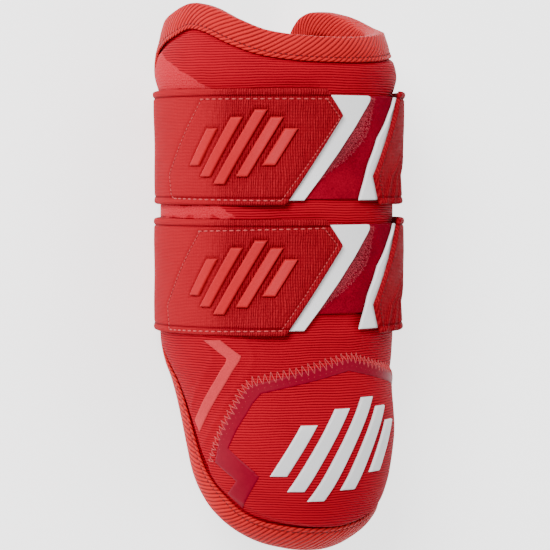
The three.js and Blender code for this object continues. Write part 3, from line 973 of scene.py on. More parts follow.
class PathTrees:
    """The node trees that lay stitches, thread and pile along the guard's paths."""

    def __init__(self) -> None:
        """Build the three trees."""
        self.stitches = self._stitches()
        self.thread = self._thread()
        self.pile = self._pile()

    @staticmethod
    def _tree(name: str, inputs: dict[str, float]) -> bpy.types.NodeTree:
        """Start a tree with a geometry, some named sizes and a material going in.

        Args:
            name: the tree's name.
            inputs: the named sizes, with their first values.

        Returns:
            The tree.
        """
        tree = bpy.data.node_groups.new(name, "GeometryNodeTree")
        face = tree.interface
        face.new_socket("Geometry", in_out="INPUT", socket_type="NodeSocketGeometry")
        for label, value in inputs.items():
            socket = face.new_socket(label, in_out="INPUT", socket_type="NodeSocketFloat")
            socket.default_value = value
        face.new_socket("Material", in_out="INPUT", socket_type="NodeSocketMaterial")
        face.new_socket("Geometry", in_out="OUTPUT", socket_type="NodeSocketGeometry")
        return tree

    @staticmethod
    def _close(tree: bpy.types.NodeTree, start: bpy.types.Node,
               shape: bpy.types.NodeSocket) -> bpy.types.NodeTree:
        """End a tree: realize the instances and set the material.

        Args:
            tree: the tree.
            start: the node that gives what goes in.
            shape: the geometry that was made.

        Returns:
            The same tree.
        """
        smooth = tree.nodes.new("GeometryNodeSetShadeSmooth")
        realize = tree.nodes.new("GeometryNodeRealizeInstances")
        paint = tree.nodes.new("GeometryNodeSetMaterial")
        end = tree.nodes.new("NodeGroupOutput")
        link = tree.links.new
        link(shape, smooth.inputs[0])
        link(smooth.outputs[0], realize.inputs["Geometry"])
        link(realize.outputs["Geometry"], paint.inputs["Geometry"])
        link(start.outputs["Material"], paint.inputs["Material"])
        link(paint.outputs["Geometry"], end.inputs["Geometry"])
        return tree

    def _stitches(self) -> bpy.types.NodeTree:
        """Lay short round-ended stitches end to end along a line.

        Returns:
            The tree.
        """
        tree = self._tree("stitch_row", {"Pitch": 0.002, "Length": 0.0014, "Thickness": 0.0005})
        link, new = tree.links.new, tree.nodes.new
        start = new("NodeGroupInput")
        curve = new("GeometryNodeMeshToCurve")
        resample = new("GeometryNodeResampleCurve")
        resample.mode = "LENGTH"
        tangent = new("GeometryNodeInputTangent")
        align = new("FunctionNodeAlignRotationToVector")
        align.axis = "X"
        bead = new("GeometryNodeMeshUVSphere")
        bead.inputs["Segments"].default_value = 8
        bead.inputs["Rings"].default_value = 6
        bead.inputs["Radius"].default_value = 0.5
        size = new("ShaderNodeCombineXYZ")
        stretch = new("GeometryNodeTransform")
        place = new("GeometryNodeInstanceOnPoints")
        link(start.outputs["Geometry"], curve.inputs["Mesh"])
        link(curve.outputs["Curve"], resample.inputs["Curve"])
        link(start.outputs["Pitch"], resample.inputs["Length"])
        link(start.outputs["Length"], size.inputs["X"])
        link(start.outputs["Thickness"], size.inputs["Y"])
        link(start.outputs["Thickness"], size.inputs["Z"])
        link(bead.outputs["Mesh"], stretch.inputs["Geometry"])
        link(size.outputs[0], stretch.inputs["Scale"])
        link(tangent.outputs[0], align.inputs["Vector"])
        link(resample.outputs["Curve"], place.inputs["Points"])
        link(stretch.outputs["Geometry"], place.inputs["Instance"])
        link(align.outputs["Rotation"], place.inputs["Rotation"])
        return self._close(tree, start, place.outputs["Instances"])

    def _thread(self) -> bpy.types.NodeTree:
        """Sweep a thread along a line.

        Returns:
            The tree.
        """
        tree = self._tree("thread_run", {"Thickness": 0.0005})
        link, new = tree.links.new, tree.nodes.new
        start = new("NodeGroupInput")
        curve = new("GeometryNodeMeshToCurve")
        half = new("ShaderNodeMath")
        half.operation = "MULTIPLY"
        half.inputs[1].default_value = 0.5
        circle = new("GeometryNodeCurvePrimitiveCircle")
        circle.inputs["Resolution"].default_value = 6
        sweep = new("GeometryNodeCurveToMesh")
        sweep.inputs["Fill Caps"].default_value = True
        link(start.outputs["Geometry"], curve.inputs["Mesh"])
        link(start.outputs["Thickness"], half.inputs[0])
        link(half.outputs[0], circle.inputs["Radius"])
        link(curve.outputs["Curve"], sweep.inputs["Curve"])
        link(circle.outputs["Curve"], sweep.inputs["Profile Curve"])
        return self._close(tree, start, sweep.outputs["Mesh"])

    def _pile(self) -> bpy.types.NodeTree:
        """Stand short leaning fibres at random on a surface, with a fixed seed.

        Returns:
            The tree.
        """
        tree = self._tree("pile", {"Density": 1e6, "Length": 0.001, "Thickness": 0.0001})
        link, new = tree.links.new, tree.nodes.new
        start = new("NodeGroupInput")
        scatter = new("GeometryNodeDistributePointsOnFaces")
        scatter.inputs["Seed"].default_value = 7
        fibre = new("GeometryNodeMeshCone")
        fibre.inputs["Vertices"].default_value = 3
        size = new("ShaderNodeCombineXYZ")
        stretch = new("GeometryNodeTransform")
        lean = new("FunctionNodeRandomValue")
        lean.data_type = "FLOAT_VECTOR"
        lean.inputs["Min"].default_value = (-1.2, -1.2, -3.1)
        lean.inputs["Max"].default_value = (1.2, 1.2, 3.1)
        lean.inputs["Seed"].default_value = 11
        spin = new("FunctionNodeEulerToRotation")
        turn = new("FunctionNodeRotateRotation")
        place = new("GeometryNodeInstanceOnPoints")
        link(start.outputs["Geometry"], scatter.inputs["Mesh"])
        link(start.outputs["Density"], scatter.inputs["Density"])
        for axis, label in zip("XYZ", ("Thickness", "Thickness", "Length")):
            link(start.outputs[label], size.inputs[axis])
        link(fibre.outputs["Mesh"], stretch.inputs["Geometry"])
        link(size.outputs[0], stretch.inputs["Scale"])
        link(lean.outputs["Value"], spin.inputs[0])
        link(scatter.outputs["Rotation"], turn.inputs["Rotation"])
        link(spin.outputs[0], turn.inputs["Rotate By"])
        link(scatter.outputs["Points"], place.inputs["Points"])
        link(stretch.outputs["Geometry"], place.inputs["Instance"])
        link(turn.outputs["Rotation"], place.inputs["Rotation"])
        return self._close(tree, start, place.outputs["Instances"])

    @staticmethod
    def run(tree: bpy.types.NodeTree, made: bpy.types.Object, finish: bpy.types.Material,
            sizes: dict[str, float], density: float = 0.0) -> None:
        """Run a tree on an object and keep the result as its plain mesh.

        Args:
            tree: the tree.
            made: an object that holds the path or the surface.
            finish: the material of the result.
            sizes: the tree's named lengths, in millimetres.
            density: how many instances lie on a square metre, where the tree asks for it.
        """
        modifier = made.modifiers.new("laid", "NODES")
        modifier.node_group = tree
        values = {name: size * MM for name, size in sizes.items()} | {"Density": density}
        for socket in tree.interface.items_tree:
            if socket.in_out == "INPUT" and socket.name in values:
                modifier[socket.identifier] = values[socket.name]
            elif socket.in_out == "INPUT" and socket.name == "Material":
                modifier[socket.identifier] = finish
        graph = bpy.context.evaluated_depsgraph_get()
        laid = bpy.data.meshes.new_from_object(made.evaluated_get(graph), depsgraph=graph)
        made.modifiers.remove(modifier)
        made.data = laid


@dataclass(frozen=True)
class Sewing:
    """A row's stitches: from one to the next, how long each is and how thick."""

    pitch: float
    length: float
    thickness: float


@dataclass
class Guard:
    """What every sub-assembly is built with."""

    shop: Workshop
    finishes: Materials
    trees: PathTrees

    def line(self, name: str, points: Array, closed: bool = False) -> bpy.types.Object:
        """Make an object that holds a line of points in the form's frame.

        Args:
            name: the object's name.
            points: the line, in the form's frame.
            closed: whether the line closes on itself.

        Returns:
            The new object.
        """
        count = len(points)
        edges = [(i, (i + 1) % count) for i in range(count if closed else count - 1)]
        mesh = bpy.data.meshes.new(name)
        mesh.from_pydata(((points + self.shop.shift) * MM).tolist(), edges, [])
        made = bpy.data.objects.new(name, mesh)
        bpy.context.collection.objects.link(made)
        return made

    def stitch(self, name: str, points: Array, finish: Finish, slot: str, sewing: Sewing,
               closed: bool = False) -> None:
        """Sew a row of stitches along points.

        Args:
            name: the piece's name.
            points: the line, in the form's frame.
            finish: the thread.
            slot: passed on to the dressing, which doesn't use it.
            sewing: the stitches' sizes.
            closed: whether the line closes on itself.
        """
        made = self.line(name, points, closed)
        sizes = {"Pitch": sewing.pitch, "Length": sewing.length, "Thickness": sewing.thickness}
        PathTrees.run(self.trees.stitches, made, self.finishes[finish], sizes)
        self.shop.dress(made, self.finishes[finish], slot)


def segment_distance(x: Array, y: Array, corners: Sequence[tuple[float, float]],
                     closed: bool = False) -> Array:
    """Give how far flat places lie from a line of straight stretches.

    Args:
        x: the places across.
        y: the places along.
        corners: the line's corners.
        closed: whether the last corner joins the first.

    Returns:
        The distances.
    """
    ends = list(zip(corners, corners[1:] + corners[:1] if closed else corners[1:]))
    nearest = np.full(np.broadcast(x, y).shape, np.inf)
    for (ax, ay), (bx, by) in ends:
        run = np.array([bx - ax, by - ay])
        share = np.clip(((x - ax) * run[0] + (y - ay) * run[1]) / (run @ run), 0, 1)
        away = np.hypot(x - ax - share * run[0], y - ay - share * run[1])
        nearest = np.minimum(nearest, away)
    return nearest


def along_line(corners: Array, pitch: float, closed: bool = False) -> Array:
    """Walk a line of straight stretches in steps.

    Args:
        corners: the corners, one row each.
        pitch: the length of a step.
        closed: whether the last corner joins the first.

    Returns:
        The points of the walk.
    """
    line = np.vstack([corners, corners[:1]]) if closed else np.asarray(corners, float)
    run = np.concatenate([[0], np.cumsum(np.linalg.norm(np.diff(line, axis=0), axis=1))])
    at = np.arange(0, run[-1], pitch)
    return np.stack([np.interp(at, run, column) for column in line.T], axis=-1)


# The coral film's bends: outer angle and height, then inner angle and height.
PAD_FILM = (
    (-59.4, -28.3, -68.7, -28.5),
    (-48.7, -35.4, -56.5, -36.7),
    (-86.5, -69.5, -89.8, -64.2),
)
# The middle of the coral film: angle and height. The pad stands up in a ridge beside it.
FILM_LINE = ((-64.0, -20.0), (-52.6, -36.0), (-88.0, -67.0))


@dataclass
class PaddedShell(Guard):
    """The ribbed pad, its lining, its folded edge binding and the film beside the cup."""

    columns: int = 260
    rows: int = 150
    tape_width: float = 9.5
    tape_gap: float = 1.0
    tape_thickness: float = 0.9
    tape_crown: float = 0.45  # how far the binding stands over the skin
    rim_drop: float = 2.0  # how far each face is drawn in under the binding
    rim_rise: float = 3.0  # the length over which it comes up again
    swell: float = 0.7  # how far the pad stands up between the straps
    strap_press: float = 0.35  # how far a strap presses it in
    film_ridge: float = 0.45  # how high the pad stands beside the coral film
    film_ridge_off: float = 8.2  # how far that ridge lies from the film's middle
    lining_gap: float = 1.3
    lining_thickness: float = 1.0
    lining_inset: float = 0.4  # between the binding's leg and the lining
    stitch_inset: float = 7.7
    stitch_sink: float = 0.55  # how far the stitches' groove lies below the binding's crown
    film_thickness: float = 0.22
    film_sink: float = 0.15  # how far the film's under face lies in the cloth

    def rim(self, away: Array) -> Array:
        """Give how far the pad is squeezed at distances in from its free edge."""
        under, clear = self.tape_width - 0.4, self.tape_width + self.rim_rise
        return self.rim_drop * (1 - smoothstep(away, under, clear))

    def height(self, turn: Array, y: Array) -> Array:
        """Give how far the pad's outer face stands over the skin.

        Args:
            turn: the angles from the crown.
            y: the heights along the arm.

        Returns:
            The heights, below 0 where the binding or a strap presses.
        """
        away = self.shop.edge.distance(turn, y)
        rim = self.rim(away)
        pressed = sum(
            smoothstep(y, low - 1, low + 4) * (1 - smoothstep(y, high - 4, high + 1))
            for low, high in STRAP_SPANS
        )
        swollen = self.swell * (1 - pressed) * smoothstep(away, self.tape_width + 2, 34)
        sway = 0.16 * np.sin(y / 9.5 + np.radians(turn) * 3.1) + 0.12 * np.sin(y / 5.3 - turn / 17)
        flat = self.shop.form.flat(turn, y)
        line = [tuple(self.shop.form.flat(np.array(at), np.array(high))) for at, high in FILM_LINE]
        off = segment_distance(flat[..., 0], flat[..., 1], line)
        beside = self.film_ridge * ridge(off, self.film_ridge_off, 1.8)
        beside = beside * (1 - pressed) * smoothstep(away, self.tape_width, 18)
        sway = sway * smoothstep(away, self.tape_width, 30)
        return swollen + beside - rim - self.strap_press * pressed + sway

    def main_pad(self) -> None:
        """Build the pad itself: two ribbed faces that the rim draws together."""
        form, shop = self.shop.form, self.shop
        s, t = np.meshgrid(shares(self.columns, 0.4), shares(self.rows, 0.35), indexing="ij")
        turn, y = form.place(s, t)
        rim = self.rim(shop.edge.distance(turn, y))
        outer = form.point(turn, y, self.height(turn, y))
        inner = form.point(turn, y, rim - form.thickness)
        made = shop.sheet("padded_shell", outer, inner, form.flat(turn, y) * MM)
        shop.dress(made, self.finishes[Finish.RIBBED], "ribbed_cloth", ["main_pad"])

    def lining(self) -> None:
        """Build the dark lining between the inner legs of the binding."""
        shop, form, edge = self.shop, self.shop.form, self.shop.edge
        turn, y = edge.inset(self.tape_width + self.lining_inset)
        low = np.arange(0, edge.BOTTOM_END + 1, 2)
        high = edge.TOP_END - low
        t = shares(70, 0.3)[None, :]
        turns = lerp(turn[low][:, None], turn[high][:, None], t)
        heights = lerp(y[low][:, None], y[high][:, None], t)
        away = edge.distance(turns, heights)
        base = self.rim(away) - form.thickness - self.lining_gap
        sway = 0.25 * np.sin(heights / 7.0) * np.sin(turns / 11.0) * smoothstep(away, 10, 30)
        outer = form.point(turns, heights, base + sway)
        inner = form.point(turns, heights, base + sway - self.lining_thickness)
        made = shop.sheet("sleeve_lining", outer, inner, form.flat(turns, heights) * MM)
        shop.dress(made, self.finishes[Finish.LINING], "lining", ["lining"])

    def tape_section(self) -> Array:
        """Give the folded tape's section: how far in from the edge and how high over the skin.

        Returns:
            Its corners, from the outer leg round the fold to the inner one.
        """
        over = self.tape_gap - self.rim_drop
        under = -self.shop.form.thickness - over
        middle = (over + under) / 2
        top = self.tape_crown
        half = top - middle
        leg = self.tape_width
        front = [
            (leg, over + 0.1), (leg + 0.2, over + 0.5), (leg + 0.05, top - 0.55),
            (leg - 0.5, top - 0.3), (leg - 1.2, top - 0.35), (self.stitch_inset, top - 0.65),
            (leg - 2.6, top - 0.25), (leg * 0.5, top + 0.15), (leg * 0.22, top + 0.15),
            (0.6, top - 0.05),
        ]
        fold = [
            (-(self.tape_gap + self.tape_thickness) * math.cos(angle) ** 0.7 + 0.1,
             middle + half * math.copysign(abs(math.sin(angle)) ** 0.7, math.sin(angle)))
            for angle in np.radians([62, 38, 15, -15, -38, -62])
        ]
        bottom = middle - half
        back = [
            (0.6, bottom), (leg * 0.3, bottom - 0.1), (leg * 0.7, bottom - 0.1), (leg, bottom + 0.2),
        ]
        inside = [
            (leg, under), (leg * 0.5, under), (-self.tape_gap, under), (-self.tape_gap, over),
            (leg * 0.5, over),
        ]
        return np.array(front + fold + back + inside)

    def binding(self) -> None:
        """Fold the tape round the whole free edge."""
        edge, form = self.shop.edge, self.shop.form
        section = self.tape_section()
        places = [edge.inset(distance) for distance, _ in section]
        stations = np.stack(
            [form.point(turn, y, height) for (turn, y), (_, height) in zip(places, section)], axis=1
        )
        steps = np.linalg.norm(np.diff(section, axis=0, append=section[:1]), axis=1)
        width = np.concatenate([[0], np.cumsum(steps)])
        made = self.shop.ring("edge_tape", stations, edge.run, width)
        self.shop.dress(made, self.finishes[Finish.TAPE], "tape", ["edge_binding"])

    def binding_stitches(self) -> None:
        """Sew the binding down with one close row near its inner edge."""
        turn, y = self.shop.edge.inset(self.stitch_inset)
        points = self.shop.form.point(turn, y, self.tape_crown - self.stitch_sink)
        self.stitch("binding_stitches", points, Finish.RED_THREAD, "tape",
                    Sewing(2.3, 1.7, 0.62), closed=True)

    def film(self) -> None:
        """Lay the coral film that runs from the lower strap down beside the cup."""
        s, t = np.meshgrid(shares(80), shares(10), indexing="ij")
        turn, y = film_places(PAD_FILM, s, t, round_at=0.5, reach=0.06)
        height = self.height(turn, y) + 0.08
        edge = np.minimum(t, 1 - t) * 8
        over = height + self.film_thickness * smoothstep(edge, -0.4, 0.6)
        outer = self.shop.form.point(turn, y, over)
        inner = self.shop.form.point(turn, y, height - self.film_sink)
        made = self.shop.sheet("pad_chevron_film", outer, inner, self.shop.form.flat(turn, y) * MM)
        self.shop.dress(made, self.finishes[Finish.CORAL_FILM], "coral_film", ["pad_film"])

    def build(self) -> None:
        """Build and dress the pad's pieces."""
        self.main_pad()
        self.lining()
        self.binding()
        self.binding_stitches()
        self.film()


def film_places(outline: Sequence[Sequence[float]], s: Array, t: Array, round_at: float,
                reach: float) -> tuple[Array, Array]:
    """Give places on a film between its outer and inner edges, with its bend rounded.

    Args:
        outline: rows of outer angle and height, then inner angle and height.
        s: the shares along the film.
        t: the shares from its inner to its outer edge.
        round_at: where along the film its sharpest bend lies.
        reach: how far along the rounding goes.

    Returns:
        The angles and the heights.
    """
    rows = np.array(outline, float)
    at = np.linspace(0, 1, len(rows))
    near = np.clip(1 - np.abs(s - round_at) / reach, 0, 1)

    def read(column: int) -> Array:
        """Read one column along the film, eased beside the bend.

        Args:
            column: which of the outline's values to read.

        Returns:
            The value at each share along the film.
        """
        plain = np.interp(s, at, rows[:, column])
        before, after = (np.interp(s + step, at, rows[:, column]) for step in (-reach, reach))
        return lerp(plain, (before + after) / 2, 0.5 * near * near)

    return lerp(read(2), read(0), t), lerp(read(3), read(1), t)


# The crimson film's edges: outer angle and height share, then inner angle and height share.
CUP_FILM = (
    (-67.3, -0.797, -59.6, -0.857),
    (-60.7, -0.746, -47.2, -0.725),
    (-74.0, -0.685, -63.9, -0.629),
    (-68.0, -0.57, -58.0, -0.56),
    (-56.0, -0.455, -48.0, -0.465),
    (-48.0, -0.398, -43.0, -0.43),
    (-22.0, -0.353, -21.0, -0.395),
    (3.0, -0.312, 3.0, -0.354),
    (22.0, -0.34, 20.0, -0.38),
    (50.0, -0.384, 48.0, -0.424),
)


@dataclass
class ElbowCup(Guard):
    """The sewn cup over the elbow: its panel, zigzag seam, crimson film and raised mark."""

    shell: PaddedShell
    columns: int = 200
    rows: int = 110
    thickness: float = 1.6
    brim: float = 0.12  # how high the panel's edge stands over the pad
    swell: float = 0.8  # how far its middle puffs up
    foot_inset: float = 10.2  # how far in from the pad's free edge the panel's foot lies
    foot_from: float = -88.0
    foot_to: float = 76.0
    roll: float = 3.2  # how far in from the seam the panel reaches its full height
    film_thickness: float = 0.2
    tooth: float = 4.7  # the zigzag's depth
    tooth_out: float = 1.2  # how far of that lies outside the seam
    pitch: float = 2.75
    thread: float = 0.32
    mark: tuple[float, float] = (56.0, 43.0)
    mark_turn: float = -1.0
    mark_place: float = -0.635

    def foot(self, s: Array) -> tuple[Array, Array]:
        """Give the panel's lower edge, just inside the binding.

        Args:
            s: the shares across the panel.

        Returns:
            The angles and the heights along the arm.
        """
        edge = self.shop.edge
        turn, y = edge.inset(self.foot_inset)
        at = lerp(self.foot_from, self.foot_to, s)
        columns, _ = edge.steps()
        walk = lerp(-edge.form.left_wrap, edge.form.right_wrap, columns)
        place = np.interp(at, walk, np.arange(len(columns))) * edge.PER_STEP
        index = np.arange(edge.BOTTOM_END + 1)
        return np.interp(place, index, turn[index]), np.interp(place, index, y[index])

    def places(self, s: Array, t: Array) -> tuple[Array, Array]:
        """Give places on the panel by shares across it and up to its seam.

        Args:
            s: the shares across the panel.
            t: the shares up to its seam.

        Returns:
            The angles and the heights along the arm.
        """
        foot_turn, foot_y = self.foot(s)
        seam_turn, seam_height = SEAM_CURVE(s)
        seam_y = seam_height * self.shop.form.half_length
        return lerp(foot_turn, seam_turn, t), lerp(foot_y, seam_y, t)

    def height(self, s: Array, t: Array, turn: Array, y: Array) -> Array:
        """Give how far the panel's outer face stands over the skin.

        Args:
            s: the shares across the panel.
            t: the shares up to its seam.
            turn: the angles of the same places.
            y: their heights along the arm.

        Returns:
            The heights over the skin.
        """
        form = self.shop.form
        seam_turn, seam_height = SEAM_CURVE(s)
        across = form.flat(*self.foot(s)) - form.flat(seam_turn, seam_height * form.half_length)
        long = np.linalg.norm(across, axis=-1)
        to_end = np.minimum(s, 1 - s) * 150
        away = np.minimum(np.minimum((1 - t) * long, t * long * 1.6), to_end)
        risen = (self.thickness - self.brim) * rounded_rim(away, self.roll)
        return self.shell.height(turn, y) + self.brim + risen + self.swell * smoothstep(away, 2, 26)

    def panel(self) -> None:
        """Build the padded panel."""
        s, t = np.meshgrid(shares(self.columns, 0.3), shares(self.rows, 0.5), indexing="ij")
        turn, y = self.places(s, t)
        outer = self.shop.form.point(turn, y, self.height(s, t, turn, y))
        inner = self.shop.form.point(turn, y, self.shell.height(turn, y) + 0.02)
        made = self.shop.sheet("cup_panel", outer, inner, self.shop.form.flat(turn, y) * MM)
        self.shop.dress(made, self.finishes[Finish.CUP], "ribbed_cloth", ["elbow_cup"])

    @cached_property
    def sampled(self) -> tuple[KDTree, Array]:
        """Sample the panel's height over a grid: a finder of the nearest places and the heights.

        Returns:
            The finder, and the height at each place that it numbers.
        """
        s, t = np.meshgrid(shares(160), shares(100), indexing="ij")
        turn, y = self.places(s, t)
        heights = self.height(s, t, turn, y).reshape(-1)
        return nearest_of(self.shop.form.flat(turn, y).reshape(-1, 2)), heights

    def over(self, turn: Array, y: Array) -> Array:
        """Give the panel's height over the skin at any places, weighted by nearness.

        Args:
            turn: the angles from the crown.
            y: the heights along the arm.

        Returns:
            The heights over the skin.
        """
        finder, heights = self.sampled
        places = self.shop.form.flat(turn, y)
        found = []
        for u, v in places.reshape(-1, 2):
            near = finder.find_n((u, v, 0), 4)
            weights = np.array([1 / (distance + 0.05) for _, _, distance in near])
            values = np.array([heights[i] for _, i, _ in near])
            found.append((weights * values).sum() / weights.sum())
        return np.array(found).reshape(places.shape[:-1])

    def seam(self) -> None:
        """Sew the panel down with a zigzag thread and a row of needle points below it."""
        form = self.shop.form
        s = np.linspace(0.012, 0.988, 900)
        turn, height = SEAM_CURVE(s)
        flat = form.flat(turn, height * form.half_length)
        walk = along_line(flat, self.pitch / 2)
        down = np.gradient(walk, axis=0)
        down = np.stack([down[:, 1], -down[:, 0]], axis=-1)
        down /= np.linalg.norm(down, axis=-1, keepdims=True)
        turns = np.arange(len(walk))
        wobble = 0.25 * np.sin(turns * 2.1)
        deep = np.where(turns % 2 == 0, -self.tooth_out, self.tooth - self.tooth_out) + wobble
        zigzag = along_line(walk + down * deep[:, None], 0.5)
        made = self.line("cup_zigzag", self._on_cup(zigzag, self.thread / 2))
        finish = self.finishes[Finish.PALE_THREAD]
        PathTrees.run(self.trees.thread, made, finish, {"Thickness": self.thread})
        self.shop.dress(made, finish, "tape")
        low = self._on_cup(along_line(walk + down * (self.tooth + 0.1), 0.8), 0.1)
        self.stitch("cup_needle_row", low, Finish.PALE_THREAD, "tape", Sewing(self.pitch, 0.5, 0.34))

    def _on_cup(self, flat: Array, lift: float) -> Array:
        """Lay flat places on the cup or, outside it, on the pad.

        Args:
            flat: the flat places.
            lift: how far over the cloth they lie.

        Returns:
            The points, in the form's frame.
        """
        form = self.shop.form
        y = flat[:, 1]
        turn = np.degrees(flat[:, 0] / (form.half_width * form.section(y)[0]))
        inside = self.inside(turn, y)
        height = np.where(inside, self.over(turn, y), self.shell.height(turn, y))
        return form.point(turn, y, height + lift)

    def inside(self, turn: Array, y: Array) -> Array:
        """Say which places lie below the seam."""
        seam_turn, seam_height = SEAM_CURVE(shares(299))
        return y < np.interp(turn, seam_turn, seam_height) * self.shop.form.half_length

    def film(self) -> None:
        """Lay the crimson film: a chevron on the left, then a band along the seam."""
        half = self.shop.form.half_length
        outline = [
            (outer_turn, outer * half, inner_turn, inner * half)
            for outer_turn, outer, inner_turn, inner in CUP_FILM
        ]
        s, t = np.meshgrid(shares(260), shares(10), indexing="ij")
        turn, y = film_places(outline, s, t, round_at=0.12, reach=0.02)
        height = self.over(turn, y) + 0.03
        past_seam = np.maximum(height - 0.6, self.shell.height(turn, y) + 0.05)
        height = soften(np.where(self.inside(turn, y + 1.0), height, past_seam), 2)
        edge = np.minimum(t, 1 - t) * 6
        over = height + self.film_thickness * smoothstep(edge, -0.4, 0.6)
        outer = self.shop.form.point(turn, y, over)
        inner = self.shop.form.point(turn, y, height - self.film_thickness)
        made = self.shop.sheet("cup_band_film", outer, inner, self.shop.form.flat(turn, y) * MM)
        self.shop.dress(made, self.finishes[Finish.CRIMSON_FILM], "crimson_film", ["cup_film"])

    def mark_point(self, x: Array, y: Array, height: Array) -> Array:
        """Lay a flat place of the mark on the panel.

        Args:
            x: the places across the mark.
            y: the places up it.
            height: how far over the panel.

        Returns:
            The points, in the form's frame.
        """
        form = self.shop.form
        along = self.mark_place * form.half_length + y
        turn = self.mark_turn + np.degrees(x / (form.half_width * form.section(along)[0]))
        return form.point(turn, along, self.over(turn, along) + height)

    def build(self) -> None:
        """Build and dress the cup's pieces."""
        self.panel()
        self.film()
        self.seam()
        raised_mark(self, "cup_mark", self.mark, self.mark_point, Finish.GREY_RUBBER, "grey_rubber")


def soften(values: Array, passes: int) -> Array:
    """Ease a grid of values along its columns and rows.

    Args:
        values: the grid.
        passes: how often it is eased.

    Returns:
        The eased grid.
    """
    for _ in range(passes):
        padded = np.pad(values, 1, mode="edge")
        values = (
            2 * values + padded[2:, 1:-1] + padded[:-2, 1:-1] + padded[1:-1, 2:] + padded[1:-1, :-2]
        ) / 6
    return values


# A raised mark's five slanted bars: centre and length as shares of its width and height.
MARK_BARS = ((-0.4, 0.5), (-0.2, 0.8), (0.0, 1.0), (0.2, 0.8), (0.4, 0.5))
BAR_WIDTH = 0.125  # as a share of the mark's width
BAR_SLANT = 0.22  # how far a full-length bar leans each way, as a share of the mark's width
BAR_RISE = 1.2
BAR_BEVEL = 0.8
BAR_STEPS = (0, 0.12, 0.3, 0.6, 1.0, 1.6)  # places near a bar's edge, as shares of the bevel


def raised_mark(guard: Guard, name: str, size: tuple[float, float], surface: Surface,
                finish: Finish, slot: str) -> None:
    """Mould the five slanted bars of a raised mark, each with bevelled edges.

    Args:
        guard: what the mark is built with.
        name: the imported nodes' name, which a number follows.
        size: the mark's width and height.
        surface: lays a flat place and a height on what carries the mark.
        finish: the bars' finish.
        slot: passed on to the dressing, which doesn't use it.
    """
    width, height = size
    steps = np.array(BAR_STEPS) * BAR_BEVEL
    for i, (centre, length) in enumerate(MARK_BARS):
        wide, long = BAR_WIDTH * width, length * height
        s, t = np.meshgrid(crowded(wide, steps, 6), crowded(long, steps, 24), indexing="ij")
        x = centre * width + (t / long - 0.5) * length * 2 * BAR_SLANT * width + s - wide / 2
        y = t - long / 2
        away = np.minimum(np.minimum(s, wide - s), np.minimum(t, long - t))
        outer = surface(x, y, BAR_RISE * rounded_rim(away, BAR_BEVEL) - 0.05)
        inner = surface(x, y, np.full_like(x, -0.25))
        made = guard.shop.sheet(f"{name}_bar_{i + 1}", outer, inner, np.stack([x, y], axis=-1) * MM)
        guard.shop.dress(made, guard.finishes[finish], slot, [f"{name}_{i + 1}"])


def mark_outlines(size: tuple[float, float]) -> list[list[tuple[float, float]]]:
    """Give the outlines of a raised mark's bars.

    Args:
        size: the mark's width and height.

    Returns:
        The four corners of each bar, from the mark's middle.
    """
    width, height = size
    outlines = []
    for centre, length in MARK_BARS:
        half, lean = BAR_WIDTH * width / 2, length * BAR_SLANT * width
        middle, top = centre * width, length * height / 2
        outlines.append([
            (middle - lean - half, -top), (middle - lean + half, -top),
            (middle + lean + half, top), (middle + lean - half, top),
        ])
    return outlines


def crowded(length: float, steps: Array, middle: int) -> Array:
    """Give places along a length that are close together near both ends.

    Args:
        length: the whole length.
        steps: the places near an end.
        middle: how many steps lie between.

    Returns:
        The places, from 0 to the length.
    """
    inner = np.linspace(steps[-1], length - steps[-1], middle + 1)[1:-1]
    return np.concatenate([steps, inner, length - steps[::-1]])


# The straps' ends: share of the way up the strap, then the angle.
STRAP_TIP = ((0, -28.2), (0.77, -1.6), (1, -9.7))
STRAP_ANCHOR = ((0, 21.7), (0.25, 17.2), (1, 42.5))
TAB_EDGE = ((0, -21.1), (1, 20.1))
ANCHOR_TAB_EDGE = ((0, 8.5), (0.33, 15.3), (0.58, 23.0), (1, 45.3))
# A strap's hems and the grooves where they end: how far in from its top edge or its foot the
# middle lies, half the width, and the height.
TOP_HEM = ((1.6, 1.7, 0.27), (3.3, 0.8, -0.5))
FOOT_HEM = ((1.5, 1.5, 0.25), (3.4, 0.8, -0.3))
# The folds at a strap's sewn end: how far from the end each begins, and how it leans.
SEWN_FOLDS = ((6.5, 0.75), (12.5, 0.65), (19.0, 0.55))
# A strap's mesh from its sewn end to its tip: the steps of each stretch, and its share.
BAND_RUNS = ((44, 0.12), (78, 0.6), (200, 0.28))
# The strips of fibres beside a hook tab: how many degrees each reaches from the tab's edge, how
# long its fibres are, and how many stand on a square metre.
PILE_STRIPS = ((3.4, 0.8, 7e6), (7.5, 0.7, 3.5e6), (12.5, 0.6, 1.8e6))
PLATE_STEPS = np.array([0, 0.15, 0.35, 0.7, 1.2])  # places near the edge of a flat piece
COARSE_ROW = Sewing(2.95, 2.2, 0.66)
FINE_ROW = Sewing(1.85, 1.35, 0.42)
SEWN_END_ROW = Sewing(2.0, 1.5, 0.55)


def read_row(table: Sequence[tuple[float, float]], at: Array) -> Array:
    """Read a table of places and values in straight stretches."""
    places, values = zip(*table)
    return np.interp(at, places, values)


@dataclass(frozen=True)
class StrapStitching:
    """Where a strap's loop of stitches turns: angle and share of the way up the strap."""

    top: tuple[tuple[float, float], ...]
    tip_side: tuple[tuple[float, float], ...]
    foot: tuple[tuple[float, float], ...]
    far_side: tuple[tuple[float, float], ...]
    patch_foot: float  # share of the way up at which the loop patch begins


